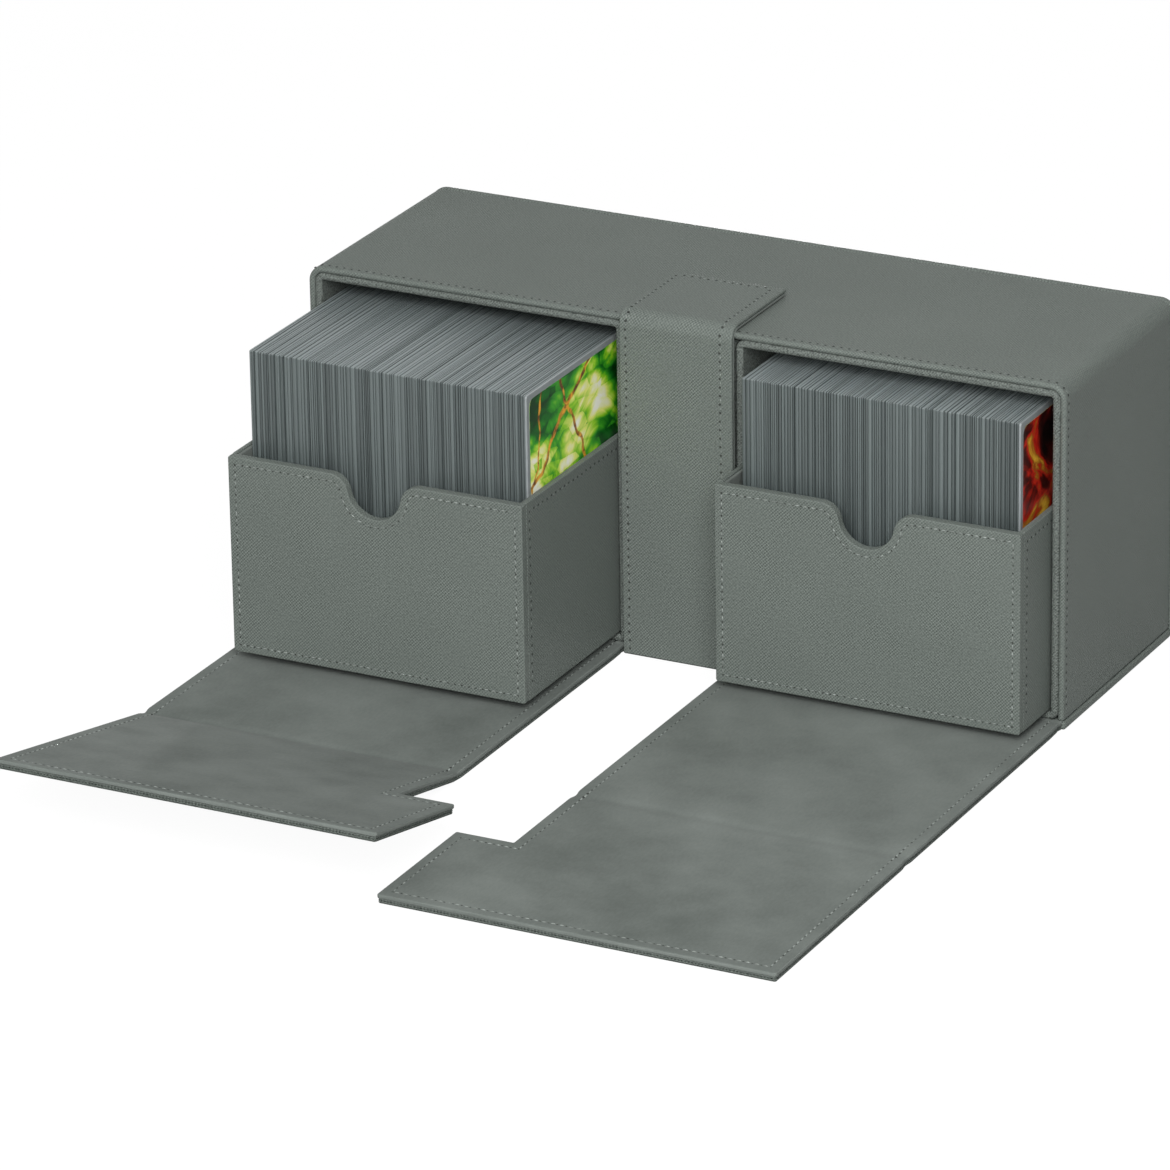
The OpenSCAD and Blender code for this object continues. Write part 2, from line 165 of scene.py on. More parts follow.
def choose(piece, kind, parts, passes):
    """Selects, of all the faces, edges or points of the piece being edited, the ones that pass."""
    bpy.ops.mesh.select_mode(type=kind)
    bpy.ops.mesh.select_all(action="DESELECT")
    mesh = bmesh.from_edit_mesh(piece.data)
    for part in getattr(mesh, parts):
        if passes(part):
            part.select_set(True)
    bmesh.update_edit_mesh(piece.data)


def choose_faces(piece, test):
    """Selects the faces whose centre and normal pass the test."""
    choose(piece, "FACE", "faces", lambda face: test(face.calc_center_median(), face.normal))


def choose_edges(piece, test):
    """Selects the edges whose two ends pass the test."""
    choose(piece, "EDGE", "edges", lambda edge: test(edge.verts[0].co, edge.verts[1].co))


def choose_points(piece, test):
    choose(piece, "VERT", "verts", lambda point: test(point.co))


def remove_faces(piece, test):
    choose_faces(piece, test)
    bpy.ops.mesh.delete(type="FACE")


def bevel_edges(piece, test, radius, segments):
    choose_edges(piece, test)
    bpy.ops.mesh.bevel(offset=radius, segments=segments, affect="EDGES")


def bevel_top(piece, top, radius, segments):
    """Bevels the edges that run from front to back at the top."""
    bevel_edges(piece, lambda a, b: abs(a.y - b.y) > MM and min(a.z, b.z) > top - MM, radius, segments)


def cut_across(axis, at, keep=None):
    """Cuts the piece being edited square to an axis. keep is "before" or "beyond", or None for both sides."""
    normal = [int(axis == name) for name in "XYZ"]
    bpy.ops.mesh.select_all(action="SELECT")
    bpy.ops.mesh.bisect(
        plane_co=[at * n for n in normal],
        plane_no=normal,
        use_fill=keep is not None,
        clear_inner=keep == "beyond",
        clear_outer=keep == "before",
    )


def face_front(sheet):
    """Makes the faces of an open sheet agree, with the first of them towards the front."""
    start_editing(sheet)
    bpy.ops.mesh.select_all(action="SELECT")
    bpy.ops.mesh.normals_make_consistent(inside=False)
    stop_editing()
    if sheet.data.polygons[0].normal.y > 0:
        sheet.data.flip_normals()


def apply_modifier(piece, kind, **settings):
    select_only(piece)
    modifier = piece.modifiers.new(kind.title(), kind)
    for name, value in settings.items():
        setattr(modifier, name, value)
    bpy.ops.object.modifier_apply(modifier=modifier.name)


def thicken(piece, wall):
    """Gives a sheet its wall, inwards from the modelled faces."""
    apply_modifier(piece, "SOLIDIFY", thickness=wall, offset=-1, use_even_offset=True)


def round_edges(piece, radius, segments):
    """Rounds every sharp edge."""
    limits = {"limit_method": "ANGLE", "angle_limit": SHARP_ANGLE, "use_clamp_overlap": True}
    apply_modifier(piece, "BEVEL", width=radius, segments=segments, **limits)


def shade_smooth(piece):
    select_only(piece)
    bpy.ops.object.shade_smooth_by_angle(angle=SMOOTH_ANGLE)


def place_in_mesh(piece, name):
    piece.name = name
    piece.data.name = name
    select_only(piece)
    bpy.ops.object.transform_apply(location=True, rotation=True, scale=True)
    return piece


def add_primitive(name, add, scale=(1, 1, 1), **settings):
    bpy.ops.object.select_all(action="DESELECT")
    add(**settings)
    piece = bpy.context.active_object
    piece.scale = scale
    return place_in_mesh(piece, name)


def block(name, low, high):
    low, high = Vector(low), Vector(high)
    middle = (low + high) / 2
    return add_primitive(name, bpy.ops.mesh.primitive_cube_add, high - low, size=1, location=middle)


def flat_sheet(name, low, high, z):
    low, high = Vector(low), Vector(high)
    middle = (*(low + high) / 2, z)
    return add_primitive(name, bpy.ops.mesh.primitive_plane_add, (*high - low, 1), size=1, location=middle)


def six_sided_rod(name, width, length, **place):
    add = bpy.ops.mesh.primitive_cylinder_add
    return add_primitive(name, add, vertices=6, radius=width / 2, depth=length, **place)


def drawn_face(name, points):
    """A face inside a drawn outline, filled as by hand."""
    drawing = bpy.data.curves.new(name, "CURVE")
    drawing.dimensions = "3D"
    line = drawing.splines.new("POLY")
    line.points.add(len(points) - 1)
    for i, p in enumerate(points):
        line.points[i].co = (*p, 1)
    line.use_cyclic_u = True
    piece = bpy.data.objects.new(name, drawing)
    bpy.context.scene.collection.objects.link(piece)
    select_only(piece)
    bpy.ops.object.convert(target="MESH")
    piece = bpy.context.active_object
    start_editing(piece)
    bpy.ops.mesh.select_all(action="SELECT")
    bpy.ops.mesh.edge_face_add()
    stop_editing()
    return place_in_mesh(piece, name)


def sink_seam(inset):
    """Presses a shallow stitching groove into the selected faces, all round at a distance from their edge."""
    bpy.ops.mesh.inset(thickness=inset - GROOVE_WIDTH, depth=0, use_even_offset=True)
    bpy.ops.mesh.inset(thickness=GROOVE_WIDTH, depth=-GROOVE_DEPTH, use_even_offset=True)
    bpy.ops.mesh.inset(thickness=GROOVE_WIDTH, depth=GROOVE_DEPTH, use_even_offset=True)


def points_of(piece):
    return np.array([v.co for v in piece.data.vertices]).reshape(-1, 3)


def move_points(piece, points):
    piece.data.vertices.foreach_set("co", points.astype(np.float32).ravel())
    piece.data.update()


def map_flat(piece):
    """Lays a UV map in metres on each face, seen along the axis that it faces most."""
    mesh = piece.data
    layer = mesh.uv_layers.get("Flat") or mesh.uv_layers.new(name="Flat")
    corner_point = np.empty(len(mesh.loops), np.int64)
    mesh.loops.foreach_get("vertex_index", corner_point)
    facing = np.empty(len(mesh.loops), np.int64)
    for face in mesh.polygons:
        axis = max(range(3), key=lambda k: abs(face.normal[k]))
        facing[face.loop_start:face.loop_start + face.loop_total] = axis
    place = points_of(piece)[corner_point]
    u = np.where(facing == 0, place[:, 1], place[:, 0])
    v = np.where(facing == 2, place[:, 1], place[:, 2])
    layer.data.foreach_set("uv", np.stack([u, v], 1).astype(np.float32).ravel())


def dress(piece, material):
    """Smooths a finished piece, lays its flat map and gives it its material."""
    shade_smooth(piece)
    apply_modifier(piece, "WEIGHTED_NORMAL", keep_sharp=True)
    map_flat(piece)
    piece.data.materials.clear()
    piece.data.materials.append(material)


def dressed_part(piece, material, slot, body, *nodes):
    """The last steps of a finished piece that moves with one body."""
    dress(piece, material)
    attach(piece, body)
    if nodes:
        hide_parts(*nodes)


def arc(centre, radius, start, end, steps):
    """Points of an arc between two angles in degrees, in a plane of two coordinates."""
    points = []
    for i in range(steps + 1):
        angle = math.radians(start + (end - start) * i / steps)
        points.append((centre[0] + radius * math.cos(angle), centre[1] + radius * math.sin(angle)))
    return points


def two_corners(left, right, top, radius):
    """Points round the top left and the top right corner of an outline."""
    return (
        arc((left + radius, top - radius), radius, 180, 90, 4)
        + arc((right - radius, top - radius), radius, 90, 0, 4)
    )


# ---- shader nodes ----

def set_input(tree, socket, value):
    """Links a socket to another one, or gives it a value of its own."""
    if isinstance(value, bpy.types.NodeSocket):
        tree.links.new(value, socket)
    else:
        socket.default_value = value


def add_node(tree, kind, values=None, **settings):
    """A shader node with its settings, and with its inputs set to values or linked from sockets."""
    made = tree.nodes.new("ShaderNode" + kind)
    for name, value in settings.items():
        setattr(made, name, value)
    for name, value in (values or {}).items():
        set_input(tree, made.inputs[name], value)
    return made


def math_node(tree, operation, a, b=0.0):
    return add_node(tree, "Math", {0: a, 1: b}, operation=operation).outputs[0]


def plus(tree, a, b):
    return math_node(tree, "ADD", a, b)


def minus(tree, a, b):
    return math_node(tree, "SUBTRACT", a, b)


def times(tree, a, b):
    return math_node(tree, "MULTIPLY", a, b)


def mixture(tree, *parts):
    """The sum of values, each times its weight."""
    value, weight = parts[0]
    total = times(tree, value, weight)
    for value, weight in parts[1:]:
        total = plus(tree, total, times(tree, value, weight))
    return total


def fit_range(tree, value, low, high, to_low=0.0, to_high=1.0):
    """value from one range to another, held within it."""
    ranges = {"Value": value, "From Min": low, "From Max": high, "To Min": to_low, "To Max": to_high}
    return add_node(tree, "MapRange", ranges).outputs["Result"]


def noise_node(tree, place, scale, detail=2.0, roughness=0.5, distortion=0.0):
    pattern = {"Scale": scale, "Detail": detail, "Roughness": roughness, "Distortion": distortion}
    return add_node(tree, "TexNoise", {"Vector": place, **pattern}).outputs["Fac"]


def axes_of(tree, vector):
    return add_node(tree, "SeparateXYZ", {0: vector}).outputs


def stretch(tree, place, scale, turn=0.0):
    """A place scaled along each axis and turned about Z."""
    values = {"Vector": place, "Rotation": (0.0, 0.0, turn), "Scale": scale}
    return add_node(tree, "Mapping", values).outputs[0]


def mix_colours(tree, share, a, b):
    """Colour a where the share is 0 and colour b where it is 1. Each is a tuple or a socket."""
    made = add_node(tree, "Mix", {"Factor": share}, data_type="RGBA")
    colours = [s for s in made.inputs if s.type == "RGBA"]
    for socket, colour in zip(colours, (a, b)):
        set_input(tree, socket, (*colour, 1) if isinstance(colour, tuple) else colour)
    return next(s for s in made.outputs if s.type == "RGBA")


def colour_steps(tree, value, steps):
    """A colour for each value, between (value, colour) steps."""
    ramp = add_node(tree, "ValToRGB", {"Fac": value})
    stops = ramp.color_ramp.elements
    while len(stops) < len(steps):
        stops.new(1.0)
    for stop, (position, colour) in zip(stops, steps):
        stop.position = position
        stop.color = (*colour, 1)
    return ramp.outputs["Color"]


def flat_place(tree):
    return add_node(tree, "UVMap", uv_map="Flat").outputs["UV"]


def object_place(tree):
    return add_node(tree, "TexCoord").outputs["Object"]


def new_material(name):
    material = bpy.data.materials.new(name)
    material.use_nodes = True
    tree = material.node_tree
    shader = next(n for n in tree.nodes if n.type == "BSDF_PRINCIPLED")
    return material, tree, shader


def set_finish(shader, finish):
    """Sets what is the same all over a surface, on the shader's own sockets."""
    for name, value in finish.items():
        shader.inputs[name].default_value = value


def colour_by(tree, shader, share, dark, light):
    """Colours the surface from dark to light by a share."""
    tree.links.new(mix_colours(tree, share, dark, light), shader.inputs["Base Color"])


def raise_by(tree, shader, height, distance, strength):
    """Shades the surface as if it rose and fell with a height."""
    values = {"Height": height, "Distance": distance, "Strength": strength}
    bump = add_node(tree, "Bump", values)
    tree.links.new(bump.outputs["Normal"], shader.inputs["Normal"])


# ---- camera, light and floor ----

CAMERA_PLACE = (0.957404, -1.955379, 0.892958)
CAMERA_DEGREES = (67.930, 0.8647, 26.991)
CAMERA_LENS = 237.182
CAMERA_SENSOR = 36

# name, place, watts and width of each lamp
LAMPS = (
    ("soft_box", (0.46, -1.05, 0.78), 18.5, 0.8),
    ("low_fill", (0.15, -0.75, 0.28), 0.8, 0.5),
    ("back_fill", (-0.5, 1.2, 0.05), 5.0, 0.08),
)
LAMPS_AIM = Vector((0, -0.06, 0.05))

WORLD_LEVEL = 0.16
WORLD_OVERHEAD = 0.42
WORLD_SIDEWAYS = 0.15
WHITE = (1, 1, 1, 1)
FLOOR_REACH = 4
FLOOR_DROP = 0.05 * MM
FLOOR_GREY = (0.45, 0.45, 0.45, 1)
FLOOR_GLOW = 1.12
FLOOR_GLOW_SHARE = 0.85


def seen_white(tree):
    """1 for the rays that show the plain background: the camera's, mirrored ones and those through glass."""
    path = add_node(tree, "LightPath").outputs
    mirrored = math_node(tree, "MAXIMUM", path["Is Glossy Ray"], path["Is Transmission Ray"])
    return math_node(tree, "MAXIMUM", path["Is Camera Ray"], mirrored)


def set_up_camera():
    camera_data = bpy.data.cameras.new("camera")
    camera = bpy.data.objects.new("camera", camera_data)
    bpy.context.scene.collection.objects.link(camera)
    camera.location = CAMERA_PLACE
    camera.rotation_euler = [math.radians(a) for a in CAMERA_DEGREES]
    camera_data.lens = CAMERA_LENS
    camera_data.sensor_width = CAMERA_SENSOR
    camera_data.clip_start = 0.1
    camera_data.clip_end = 50
    bpy.context.scene.camera = camera
    bpy.context.scene.view_settings.view_transform = "Standard"


def set_up_light():
    for name, place, watts, width in LAMPS:
        lamp_data = bpy.data.lights.new(name, "AREA")
        lamp_data.energy = watts
        lamp_data.size = width
        lamp = bpy.data.objects.new(name, lamp_data)
        lamp.location = place
        lamp.rotation_euler = (lamp.location - LAMPS_AIM).to_track_quat("Z", "Y").to_euler()
        bpy.context.scene.collection.objects.link(lamp)

    world = bpy.data.worlds.new("studio")
    bpy.context.scene.world = world
    world.use_nodes = True
    tree = world.node_tree
    tree.nodes.clear()
    direction = axes_of(tree, add_node(tree, "TexCoord").outputs["Generated"])
    overhead = fit_range(tree, direction["Z"], 0.0, 1.0, WORLD_LEVEL, WORLD_LEVEL + WORLD_OVERHEAD)
    sideways = fit_range(tree, direction["X"], -1.0, 1.0, WORLD_SIDEWAYS, -WORLD_SIDEWAYS)
    strength = plus(tree, overhead, sideways)
    soft = add_node(tree, "Background", {"Color": WHITE, "Strength": strength}).outputs[0]
    white = add_node(tree, "Background", {"Color": WHITE, "Strength": 1.0}).outputs[0]
    mix = add_node(tree, "MixShader", {0: seen_white(tree), 1: soft, 2: white}).outputs[0]
    add_node(tree, "OutputWorld", {"Surface": mix})


def lay_floor():
    floor = flat_sheet("studio_floor", (-FLOOR_REACH, -FLOOR_REACH), (FLOOR_REACH, FLOOR_REACH), -FLOOR_DROP)
    material = bpy.data.materials.new("white_floor")
    material.use_nodes = True
    tree = material.node_tree
    tree.nodes.clear()
    share = times(tree, seen_white(tree), FLOOR_GLOW_SHARE)
    paint = add_node(tree, "BsdfDiffuse", {"Color": FLOOR_GREY}).outputs[0]
    glow = add_node(tree, "Emission", {"Strength": FLOOR_GLOW}).outputs[0]
    mix = add_node(tree, "MixShader", {0: share, 1: paint, 2: glow}).outputs[0]
    add_node(tree, "OutputMaterial", {"Surface": mix})
    floor.data.materials.append(material)


# ---- effects that materials share ----

def new_group(name, values, outputs):
    """A shader node group with a place and named values to read, and with named outputs."""
    group = bpy.data.node_groups.new(name, "ShaderNodeTree")
    group.interface.new_socket(name="Place", in_out="INPUT", socket_type="NodeSocketVector")
    for label, start in values.items():
        socket = group.interface.new_socket(name=label, in_out="INPUT", socket_type="NodeSocketFloat")
        socket.default_value = start
    for label in outputs:
        group.interface.new_socket(name=label, in_out="OUTPUT", socket_type="NodeSocketFloat")
    given = group.nodes.new("NodeGroupInput")
    result = group.nodes.new("NodeGroupOutput")
    return group, given.outputs, result.inputs


def group_node(tree, group, values):
    return add_node(tree, "Group", values, node_tree=group).outputs


def make_grain_group():
    """Pressed crosshatch of leatherette: two sets of fine diagonal ridges whose strength comes and goes."""
    values = {"Ridges per metre": 1500.0, "Patches per metre": 90.0, "Flecks": 0.45}
    group, given, result = new_group("pressed_grain", values, ("Relief", "Tone"))
    place = given["Place"]
    along = axes_of(group, place)
    wander = noise_node(group, place, 260.0, 1.0)
    turns = times(group, given["Ridges per metre"], math.tau / math.sqrt(2))
    waves = []
    for operation, wobble in (("SUBTRACT", 1.6), ("ADD", 2.4)):
        across = math_node(group, operation, along["X"], along["Y"])
        phase = mixture(group, (across, turns), (wander, wobble))
        waves.append(math_node(group, "SINE", phase))
    ridges = mixture(group, (waves[0], 0.62), (waves[1], 0.38))
    patches = noise_node(group, place, given["Patches per metre"])
    strength = fit_range(group, patches, 0.35, 0.65, 0.35, 1.0)
    speckle = fit_range(group, noise_node(group, place, 1500.0, 2.0, 0.6), 0.3, 0.7, -1.0, 1.0)
    relief = mixture(group, (ridges, strength), (speckle, given["Flecks"]))
    group.links.new(relief, result["Relief"])
    group.links.new(fit_range(group, relief, -1.0, 1.0), result["Tone"])
    return group


def make_mottle_group():
    """Slow changes of tone over a surface, as on brushed or handled material."""
    group, given, result = new_group("handled_mottle", {"Patches per metre": 30.0}, ("Tone",))
    place, scale = given["Place"], given["Patches per metre"]
    wide = noise_node(group, place, scale, 3.0, 0.55)
    small = noise_node(group, place, times(group, scale, 4.3))
    tone = fit_range(group, mixture(group, (wide, 0.7), (small, 0.3)), 0.33, 0.67)
    group.links.new(tone, result["Tone"])
    return group


def make_nap_group():
    """Short fibres of brushed microfibre: fine flecks along one direction."""
    group, given, result = new_group("brushed_nap", {"Fibres per metre": 1100.0}, ("Relief", "Tone"))
    lengthwise = stretch(group, given["Place"], (1.0, 0.45, 1.0))
    fibres = noise_node(group, lengthwise, given["Fibres per metre"], 3.0, 0.65)
    group.links.new(fibres, result["Relief"])
    group.links.new(fit_range(group, fibres, 0.3, 0.7), result["Tone"])
    return group


GRAIN = make_grain_group()
MOTTLE = make_mottle_group()
NAP = make_nap_group()


# ---- materials ----

# painted shade on the lining, along Y of the flat map: darker towards the flaps' far end, paler towards their
# hinge
SHADE_FAR_END_Y, SHADE_HINGE_Y = -0.235, -0.045
PAINTED_SHADE_AT_END, PAINTED_LIGHT_AT_HINGE = -0.14, 0.13


def leather_material(name, dark, light, ridges=1340.0, flecks=0.45, relief=0.06 * MM, rough=0.52):
    """Leatherette with pressed grain, a slow mottle and little gloss."""
    material, tree, shader = new_material(name)
    place = flat_place(tree)
    grain = group_node(tree, GRAIN, {"Place": place, "Ridges per metre": ridges, "Flecks": flecks})
    mottle = group_node(tree, MOTTLE, {"Place": place, "Patches per metre": 22.0})
    share = mixture(tree, (grain["Tone"], 0.9), (mottle["Tone"], 0.1))
    colour_by(tree, shader, share, dark, light)
    roughness = fit_range(tree, grain["Tone"], 0.0, 1.0, rough + 0.08, rough - 0.05)
    tree.links.new(roughness, shader.inputs["Roughness"])
    set_finish(shader, {"Specular IOR Level": 0.08})
    raise_by(tree, shader, grain["Relief"], relief, 1.0)
    return material


def microfibre_material(name, dark, light):
    """Brushed lining: handled patches and fine fibres, and painted shade along the flat map's Y, darker
    towards a flap's far end and paler towards its hinge end.
    """
    material, tree, shader = new_material(name)
    place = flat_place(tree)
    nap = group_node(tree, NAP, {"Place": place})
    mottle = group_node(tree, MOTTLE, {"Place": place, "Patches per metre": 17.0})
    patches = mixture(tree, (nap["Tone"], 0.22), (mottle["Tone"], 0.78))
    along = axes_of(tree, place)["Y"]
    # painted shade: darker towards the far end, paler towards the hinge
    lengthwise = fit_range(tree, along, SHADE_FAR_END_Y, SHADE_HINGE_Y, PAINTED_SHADE_AT_END, PAINTED_LIGHT_AT_HINGE)
    colour_by(tree, shader, plus(tree, patches, lengthwise), dark, light)
    set_finish(shader, {"Roughness": 0.9, "Specular IOR Level": 0.05, "Sheen Weight": 0.05})
    raise_by(tree, shader, nap["Relief"], 0.05 * MM, 0.6)
    return material


def thread_material():
    """Twisted sewing thread, darker in its dips and where it is worn."""
    material, tree, shader = new_material("sewing_thread")
    place = object_place(tree)
    twist = noise_node(tree, place, 2600.0, 1.0)
    fresh = fit_range(tree, noise_node(tree, place, 130.0, 3.0, 0.7), 0.40, 0.60)
    share = times(tree, fit_range(tree, twist, 0.35, 0.65, 0.3, 1.0), fresh)
    colour_by(tree, shader, share, (0.125, 0.142, 0.130), (0.300, 0.328, 0.310))
    set_finish(shader, {"Roughness": 0.6})
    raise_by(tree, shader, twist, 0.04 * MM, 0.7)
    return material


def speckled_material(name, dark, light, speckle, finish, relief=0.0, dullness=None):
    """A finish that changes with fine noise of a scale, detail and roughness: in tone, and in relief and
    dullness where they are given."""
    material, tree, shader = new_material(name)
    noise = noise_node(tree, object_place(tree), *speckle)
    colour_by(tree, shader, noise, dark, light)
    set_finish(shader, finish)
    if relief:
        raise_by(tree, shader, noise, relief, 0.5)
    if dullness:
        tree.links.new(fit_range(tree, noise, 0.3, 0.7, *dullness), shader.inputs["Roughness"])
    return material


def card_sleeve_material():
    """Edges of plastic card sleeves, each a little different in tone, with fine streaks along them, and
    painted light on the faces that look up."""
    material, tree, shader = new_material("card_sleeve_edges")
    tone = add_node(tree, "Attribute", attribute_name="card_tone").outputs["Fac"]
    streaks = noise_node(tree, stretch(tree, object_place(tree), (9.0, 0.25, 0.25)), 420.0, 2.0, 0.6)
    share = mixture(tree, (tone, 0.72), (streaks, 0.28))
    edge = mix_colours(tree, share, (0.022, 0.029, 0.029), (0.128, 0.153, 0.151))
    # painted light: a paler colour for the faces that look up, chosen by the normal below
    painted_light_top = mix_colours(tree, share, (0.158, 0.182, 0.183), (0.205, 0.235, 0.235))
    facing = axes_of(tree, add_node(tree, "NewGeometry").outputs["Normal"])
    colour_by(tree, shader, fit_range(tree, facing["Z"], 0.5, 0.9), edge, painted_light_top)
    set_finish(shader, {"Roughness": 0.42, "Specular IOR Level": 0.4})
    raise_by(tree, shader, streaks, 0.03 * MM, 0.5)
    return material


def glossy_print(tree, shader, colour):
    tree.links.new(colour, shader.inputs["Base Color"])
    set_finish(shader, {"Roughness": 0.3, "Coat Weight": 0.3, "Coat Roughness": 0.2})


def glow_at(tree, place, centre, reach):
    """1 at a place in the flat map, fading to 0 at a distance."""
    away = add_node(tree, "VectorMath", {0: place, 1: (*centre, 0.0)}, operation="DISTANCE")
    return fit_range(tree, away.outputs["Value"], 0.0, reach, 1.0, 0.0)


def twig_mask(tree, place, through, angle, half_width):
    """1 on a wavering line through a place in the flat map, and 0 beside it."""
    along = axes_of(tree, place)
    x = times(tree, minus(tree, along["X"], through[0]), math.sin(angle))
    y = times(tree, minus(tree, along["Y"], through[1]), math.cos(angle))
    sway = times(tree, minus(tree, noise_node(tree, place, 75.0), 0.5), 0.009)
    off = math_node(tree, "ABSOLUTE", plus(tree, minus(tree, x, y), sway))
    return fit_range(tree, off, 0.6 * half_width, half_width, 1.0, 0.0)


# centre, reach and gain of the lights and shades among the leaves
LEAF_LIGHTS = (
    ((-0.086, 0.070), 0.013, 0.26),
    ((-0.049, 0.081), 0.015, 0.28),
    ((-0.066, 0.073), 0.012, 0.22),
    ((-0.092, 0.095), 0.016, -0.26),
    ((-0.044, 0.096), 0.009, -0.20),
)
LEAF_COLOURS = (
    (0.36, (0.001, 0.040, 0.004)),
    (0.47, (0.004, 0.150, 0.010)),
    (0.56, (0.050, 0.400, 0.015)),
    (0.63, (0.330, 0.700, 0.020)),
    (0.72, (0.900, 0.940, 0.220)),
    (0.83, (1.000, 1.000, 0.850)),
)
# a place on each twig, its angle in degrees and half its width
TWIGS = (
    ((-0.074, 0.081), 38, 0.0011),
    ((-0.061, 0.078), 118, 0.0007),
    ((-0.085, 0.084), 76, 0.0005),
)
EMBER_COLOURS = (
    (0.40, (0.004, 0.002, 0.002)),
    (0.50, (0.080, 0.006, 0.004)),
    (0.57, (0.620, 0.020, 0.010)),
    (0.60, (0.360, 0.090, 0.012)),
    (0.66, (0.760, 0.400, 0.030)),
    (0.76, (0.900, 0.640, 0.080)),
)
EMBER_MIDDLE = 0.084


def leaf_print_material():
    """Glossy printed card face: layers of abstract leaves, some in shade and some in strong light."""
    material, tree, shader = new_material("leaf_print")
    place = flat_place(tree)
    bent = stretch(tree, place, (1.0, 2.3, 1.0), turn=0.7)
    leaves = add_node(tree, "TexVoronoi", {"Vector": bent, "Scale": 105.0}).outputs
    shade = add_node(tree, "SeparateColor", {0: leaves["Color"]}).outputs[0]
    swirl = noise_node(tree, place, 34.0, 5.0, 0.6, 0.9)
    lights = [(glow_at(tree, place, centre, reach), gain) for centre, reach, gain in LEAF_LIGHTS]
    light = mixture(tree, (swirl, 1.15), (shade, 0.16), (leaves["Distance"], -0.22), *lights)
    ground = colour_steps(tree, light, LEAF_COLOURS)
    fissures = fit_range(tree, noise_node(tree, place, 190.0, 3.0, 0.6, 0.8), 0.42, 0.58)
    bark = mix_colours(tree, fissures, (0.150, 0.040, 0.008), (0.900, 0.420, 0.030))
    for through, degrees, half_width in TWIGS:
        twig = twig_mask(tree, place, through, math.radians(degrees), half_width)
        ground = mix_colours(tree, twig, ground, bark)
    glossy_print(tree, shader, ground)
    return material


def ember_print_material():
    """Glossy printed card face: an abstract glow of embers on a dark ground."""
    material, tree, shader = new_material("ember_print")
    place = flat_place(tree)
    down = times(tree, minus(tree, axes_of(tree, place)["Y"], EMBER_MIDDLE), -4.0)
    heat = plus(tree, noise_node(tree, place, 44.0, 4.0, 0.6, 1.3), down)
    glossy_print(tree, shader, colour_steps(tree, heat, EMBER_COLOURS))
    return material


# darker leather: painted shade on the downward faces of the strap's foot, and darker side faces of the flaps'
# leather
DARK_EDGE_AND_SHADE = leather_material("dark_edge_and_shade", (0.024, 0.029, 0.026), (0.105, 0.120, 0.109), flecks=0.9, rough=0.7)
CASE_LEATHER = leather_material("case_leather", (0.068, 0.080, 0.072), (0.200, 0.226, 0.207))
EDGE_LEATHER = leather_material(
    "folded_edge_leather",
    (0.070, 0.081, 0.073),
    (0.200, 0.223, 0.206),
    ridges=1500.0,
    flecks=1.1,
    relief=0.10 * MM,
    rough=0.6,
)
LINING = microfibre_material("brushed_lining", (0.096, 0.109, 0.100), (0.178, 0.198, 0.184))
THREAD = thread_material()
# painted shade: dark discs stand where the needle holes are
NEEDLE_HOLE_SHADE = speckled_material(
    "needle_hole",
    (0.030, 0.033, 0.030),
    (0.070, 0.076, 0.070),
    (1800.0, 1.0),
    {"Roughness": 0.95, "Specular IOR Level": 0.05},
)
CARD_SLEEVES = card_sleeve_material()
SLEEVE_FACE = speckled_material(
    "sleeve_face",
    (0.20, 0.22, 0.225),
    (0.30, 0.325, 0.33),
    (260.0, 3.0, 0.6),
    {"Roughness": 0.35, "Specular IOR Level": 0.4},
)
BOARD = speckled_material(
    "grey_board",
    (0.16, 0.155, 0.14),
    (0.34, 0.33, 0.30),
    (700.0, 4.0, 0.7),
    {"Roughness": 0.88},
    relief=0.05 * MM,
)
NICKEL = speckled_material(
    "nickel_plate",
    (0.42, 0.43, 0.44),
    (0.62, 0.63, 0.64),
    (900.0, 3.0, 0.6),
    {"Metallic": 1.0},
    dullness=(0.22, 0.42),
)
LEAF_PRINT = leaf_print_material()
EMBER_PRINT = ember_print_material()


# ---- stitching ----

STITCH_PITCH = 2.7 * MM
STITCH_LENGTH = 1.8 * MM
STITCH_SLANT = math.radians(7)
SLANT_SPREAD = math.radians(6)
STITCH_WIDTHS = (0.85, 1.12)
THREAD_RISE = 0.30 * MM
HOLE_TOP = 0.12 * MM
HOLE_DEPTH = 0.3 * MM
HOLE_LIP = 0.12 * MM
HOLE_DISH = 0.02 * MM
GROOVE_SINK = 0.03 * MM
FLAT_SINK = 0.08 * MM
SHORTEST_RUN = 1e-7
ROUNDING = 1e-9
stitch_dice = random.Random(5)


